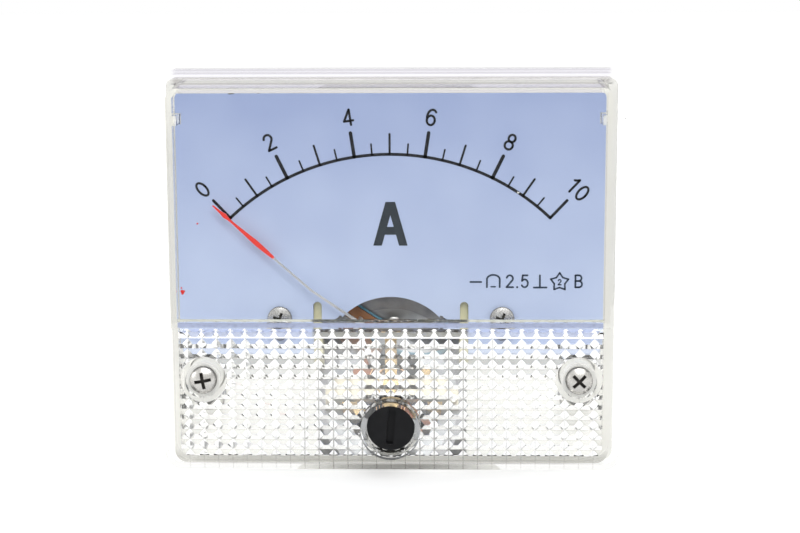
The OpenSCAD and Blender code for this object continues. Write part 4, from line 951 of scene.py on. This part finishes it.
# %% Strokes
def band(path, pen):
    """Corners and faces of a flat band, pen mm wide, along a path of (x, z) points.

    Each point is moved by half the pen along the path's normal, to the left and to the right. There
    is a half disc at each end, whose rim is the end point plus half the pen times
    (cos t, sin t), with t over the half circle that faces away from the path."""
    path = np.asarray(path, float)
    along = np.gradient(path, axis=0)
    along /= np.linalg.norm(along, axis=1)[:, None]
    side = np.stack([-along[:, 1], along[:, 0]], 1) * pen / 2
    n = len(path)
    points = [path + side, path - side]
    i = np.arange(n - 1)
    faces = np.stack([n + i, n + i + 1, i + 1, i], 1).tolist()
    for end, way in ((0, -1), (n - 1, 1)):
        heading = math.atan2(*(way * along[end])[::-1])
        t = np.linspace(-math.pi / 2, math.pi / 2, 7) + heading
        start = sum(len(p) for p in points)
        points.append(path[end] + pen / 2 * np.stack([np.cos(t), np.sin(t)], 1))
        faces.append(list(range(start, start + len(t))))
    return np.concatenate(points), faces


def ink_sheet(name, flat, faces, finish, lift=0.02):
    """A sheet of ink lift mm in front of the dial, from (x, z) points in millimetres."""
    depth = np.full(len(flat), DIAL_Y / MM - lift)
    points = (np.stack([flat[:, 0], depth, flat[:, 1]], 1) * MM).tolist()
    piece = add_mesh(name, points, faces, finish)
    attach(piece, "case")
    print(name, len(faces), "faces")
    return piece


def print_on_dial(name, strokes, finish):
    """One sheet of ink in front of the dial, made of several (path, pen) strokes."""
    points, faces, count = [], [], 0
    for path, pen in strokes:
        corners, cells = band(path, pen)
        points.append(corners)
        faces += [[c + count for c in cell] for cell in cells]
        count += len(corners)
    return ink_sheet(name, np.concatenate(points), faces, finish)


# %% [markdown]
# The scale is an arc about the pointer's axis, from 44 degrees left of upright to 44 degrees right,
# with a mark for each half division. Marks stand outwards from the arc: the even ones long and
# bold, the odd ones thinner, the halves short.

# %% Scale
ARC_REACH = 31.165
HALF_SWEEP = 43.5
DIVISIONS = 10
PRINT_SHIFT = (-0.055, -0.245)


def around(reach, degrees):
    """The (x, z) point at a reach and an angle right of upright from the middle of the scale.

    The print sits a hair lower than the pointer's axis, as prints do."""
    t = np.radians(degrees)
    return np.stack([PRINT_SHIFT[0] + reach * np.sin(t), AXIS_Z / MM + PRINT_SHIFT[1] + reach * np.cos(t)], -1)


def mark(step):
    """The stroke of one mark; step counts half divisions from zero."""
    at = -HALF_SWEEP + step * HALF_SWEEP / DIVISIONS
    ends = step in (0, 2 * DIVISIONS)
    length, pen = (1.45, 0.23) if step % 2 else (2.7, 0.29) if step % 4 else (3.25, 0.38 if ends else 0.47)
    return around(np.linspace(ARC_REACH, ARC_REACH + length, 2), at), pen


arc = (around(ARC_REACH, np.linspace(-HALF_SWEEP, HALF_SWEEP, 97)), 0.4)
print_on_dial("dial_scale", [arc] + [mark(step) for step in range(2 * DIVISIONS + 1)], SCALE_INK)

# %% [markdown]
# ## Numerals
# The numerals are plain sans-serif figures. Each is drawn in a box one unit high, centred on
# zero, from straight runs and parts of ellipses, then scaled, turned and moved to its place.

# %% Figures
def run(*corners):
    return np.array(corners, float)


def bow(x, z, rx, rz, start, stop, steps=25):
    """Part of an ellipse about (x, z), from start to stop degrees, anticlockwise from the right."""
    t = np.radians(np.linspace(start, stop, steps))
    return np.stack([x + rx * np.cos(t), z + rz * np.sin(t)], 1)


FIGURES = {
    "0": [bow(0, 0, 0.235, 0.44, 0, 360)],
    "1": [run((0.06, 0.44), (0.06, -0.44)), run((0.05, 0.44), (-0.04, 0.33), (-0.16, 0.24))],
    "2": [np.concatenate([bow(0, 0.2, 0.225, 0.24, 165, -30), run((-0.22, -0.42))]),
          run((-0.23, -0.44), (0.25, -0.44))],
    "4": [run((0.11, 0.44), (0.11, -0.44)), run((0.10, 0.43), (-0.25, -0.19)), run((-0.26, -0.2), (0.27, -0.2))],
    "5": [run((-0.14, 0.44), (0.21, 0.44)), run((-0.14, 0.43), (-0.19, 0.03)),
          bow(0, -0.15, 0.235, 0.29, 138, -150)],
    "6": [bow(0.01, -0.17, 0.225, 0.27, 0, 360), bow(0.06, 0.0, 0.285, 0.44, 48, 190)],
    "8": [bow(0, 0.225, 0.19, 0.215, 0, 360), bow(0, -0.21, 0.23, 0.235, 0, 360)],
    "A": [run((-0.31, -0.5), (0, 0.5)), run((0.31, -0.5), (0, 0.5)), run((-0.2, -0.17), (0.2, -0.17))],
    "B": [run((-0.23, 0.44), (-0.23, -0.44)), run((-0.23, 0.44), (0.02, 0.44)), run((-0.23, 0.02), (0.02, 0.02)),
          run((-0.23, -0.44), (0.02, -0.44)), bow(0.02, 0.23, 0.19, 0.21, 90, -90),
          bow(0.02, -0.21, 0.23, 0.23, 90, -90)],
    ".": [run((0, -0.44), (0.001, -0.44))],
}


def figure(sign, at, height, pen, lean=0.0):
    """The strokes of one figure, height mm tall, turned by lean degrees clockwise about its centre."""
    t = math.radians(lean)
    turn = np.array([[math.cos(t), -math.sin(t)], [math.sin(t), math.cos(t)]])
    shapes = [s * height @ turn + at for s in FIGURES[sign]]
    return [(s, pen) for s in shapes]


NUMERAL_REACH = 36.5
NUMERAL_HEIGHT = 2.33
numerals = []
for value in range(0, DIVISIONS + 1, 2):
    at = -HALF_SWEEP + 2 * HALF_SWEEP * value / DIVISIONS
    signs = str(value)
    for i, sign in enumerate(signs):
        shift = math.degrees((i - (len(signs) - 1) / 2) * 1.55 / NUMERAL_REACH)
        numerals += figure(sign, around(NUMERAL_REACH, at + shift), NUMERAL_HEIGHT, 0.31, at)
print_on_dial("dial_numerals", numerals, SCALE_INK)

# %% [markdown]
# The unit letter is bold, with square-cut strokes: its outline is drawn as one band per stroke
# with a wide pen, and the feet are cut level.

# %% Unit letter
def bold_letter(at, width, height, stem):
    """The outline of a bold A: two slanted legs cut level at the foot, and a bar between them.

    A leg's sides are parallel, stem mm apart along x; the two inner sides meet at the crotch, and
    the bar ends where they pass, so no part lies over another."""
    x, z = at
    w, h = width / 2, height / 2
    flat = stem * 0.56
    lean = (w - flat) / (2 * h)
    crotch = -h + (w - stem) / lean
    left = [(-w, -h), (stem - w, -h), (0, crotch), (0, h), (-flat, h)]
    right = [(-px, pz) for px, pz in left[::-1]]
    low, high = -h + height * 0.25, -h + height * 0.43
    inner = [w - stem - lean * (v + h) for v in (low, high)]
    crossbar = [(-inner[0], low), (inner[0], low), (inner[1], high), (-inner[1], high)]
    return [[(x + px, z + pz) for px, pz in loop] for loop in (left, right, crossbar)]


def print_loops(name, loops, finish, lift=0.02):
    """A sheet of ink from closed outlines that run anticlockwise."""
    starts = np.cumsum([0] + [len(loop) for loop in loops])
    faces = [list(range(a, b)) for a, b in zip(starts, starts[1:])]
    return ink_sheet(name, np.concatenate(loops), faces, finish, lift)


print_loops("dial_unit", bold_letter((0.0, 7.57), 4.62, 5.92, 1.15), UNIT_INK)

# %% [markdown]
# The row of signs says how the meter is used: direct current, a moving-coil movement, its class,
# upright mounting, the test voltage in a star, and the group it belongs to. They are the plain
# signs that all such meters carry.

# %% Signs
SIGN_Z = -0.25
SIGN_H = 1.85
SIGN_PEN = 0.25


def star(x, z, outer, inner):
    """A five-pointed star about (x, z): corners in turn at the outer and the inner reach."""
    t = np.radians(90 + 36 * np.arange(11))
    reach = np.where(np.arange(11) % 2, inner, outer)
    return np.stack([x + reach * np.cos(t), z + reach * np.sin(t)], 1)


def edges_of(path, steps=5):
    """The straight sides of a cornered path, each as a stroke of its own."""
    return [np.linspace(a, b, steps) for a, b in zip(path[:-1], path[1:])]


foot = SIGN_Z - SIGN_H / 2 + SIGN_PEN / 2
arch = np.concatenate([run((12.98, foot)), bow(13.84, 0.0, 0.86, 0.62, 180, 0), run((14.7, foot))])
signs = [(run((10.75, SIGN_Z - 0.1), (12.2, SIGN_Z - 0.1)), SIGN_PEN), (arch, SIGN_PEN),
         (run((13.55, foot + 0.05), (14.1, foot + 0.05)), SIGN_PEN * 0.8)]
signs += figure("2", (16.05, SIGN_Z), SIGN_H, SIGN_PEN) + figure(".", (17.05, SIGN_Z), SIGN_H, SIGN_PEN * 1.15)
signs += figure("5", (18.05, SIGN_Z), SIGN_H, SIGN_PEN)
signs += [(run((20.1, foot + 0.1), (20.1, SIGN_Z + SIGN_H / 2 - 0.12)), SIGN_PEN),
          (run((19.3, foot - 0.05), (21.0, foot - 0.05)), SIGN_PEN)]
signs += [(side, SIGN_PEN * 0.9) for side in edges_of(star(22.75, SIGN_Z - 0.1, 1.25, 0.75))]
signs += figure("2", (22.75, SIGN_Z - 0.12), 0.8, 0.17) + figure("B", (25.3, SIGN_Z), SIGN_H, SIGN_PEN)
print_on_dial("dial_signs", signs, SIGN_INK)

# %% [markdown]
# ## Marks of handling
# A few specks survived the assembly: a smear and a dot of the pointer's red paint, a white nick in
# the scale line and a dark chip on the dial's top edge. Each is a small uneven blot.

# %% Blots
def blot(x, z, rx, rz, phase, steps=18):
    """A closed loop: an ellipse whose reach swells and shrinks by a fifth with the angle."""
    t = np.linspace(0, 2 * math.pi, steps, endpoint=False)
    swell = 1 + 0.2 * np.sin(3 * t + phase) + 0.12 * np.sin(5 * t - phase)
    return np.stack([x + rx * swell * np.cos(t), z + rz * swell * np.sin(t)], 1).tolist()


WHITE_PAINT = ink("bare_primer", (0.80, 0.80, 0.78))
print_loops("red_specks", [blot(-28.2, -1.75, 0.28, 0.32, 0.4), blot(-28.35, -1.2, 0.1, 0.12, 1.7),
                           blot(-25.97, 7.6, 0.13, 0.11, 2.1)], RED_PAINT, 0.03)
print_loops("scale_nick", [blot(17.09, 11.78, 0.17, 0.13, 0.9)], WHITE_PAINT, 0.035)
print_loops("edge_chip", [blot(-21.1, 25.02, 0.42, 0.09, 2.6), blot(-17.5, 25.06, 0.14, 0.05, 0.6)],
            UNIT_INK, 0.03)
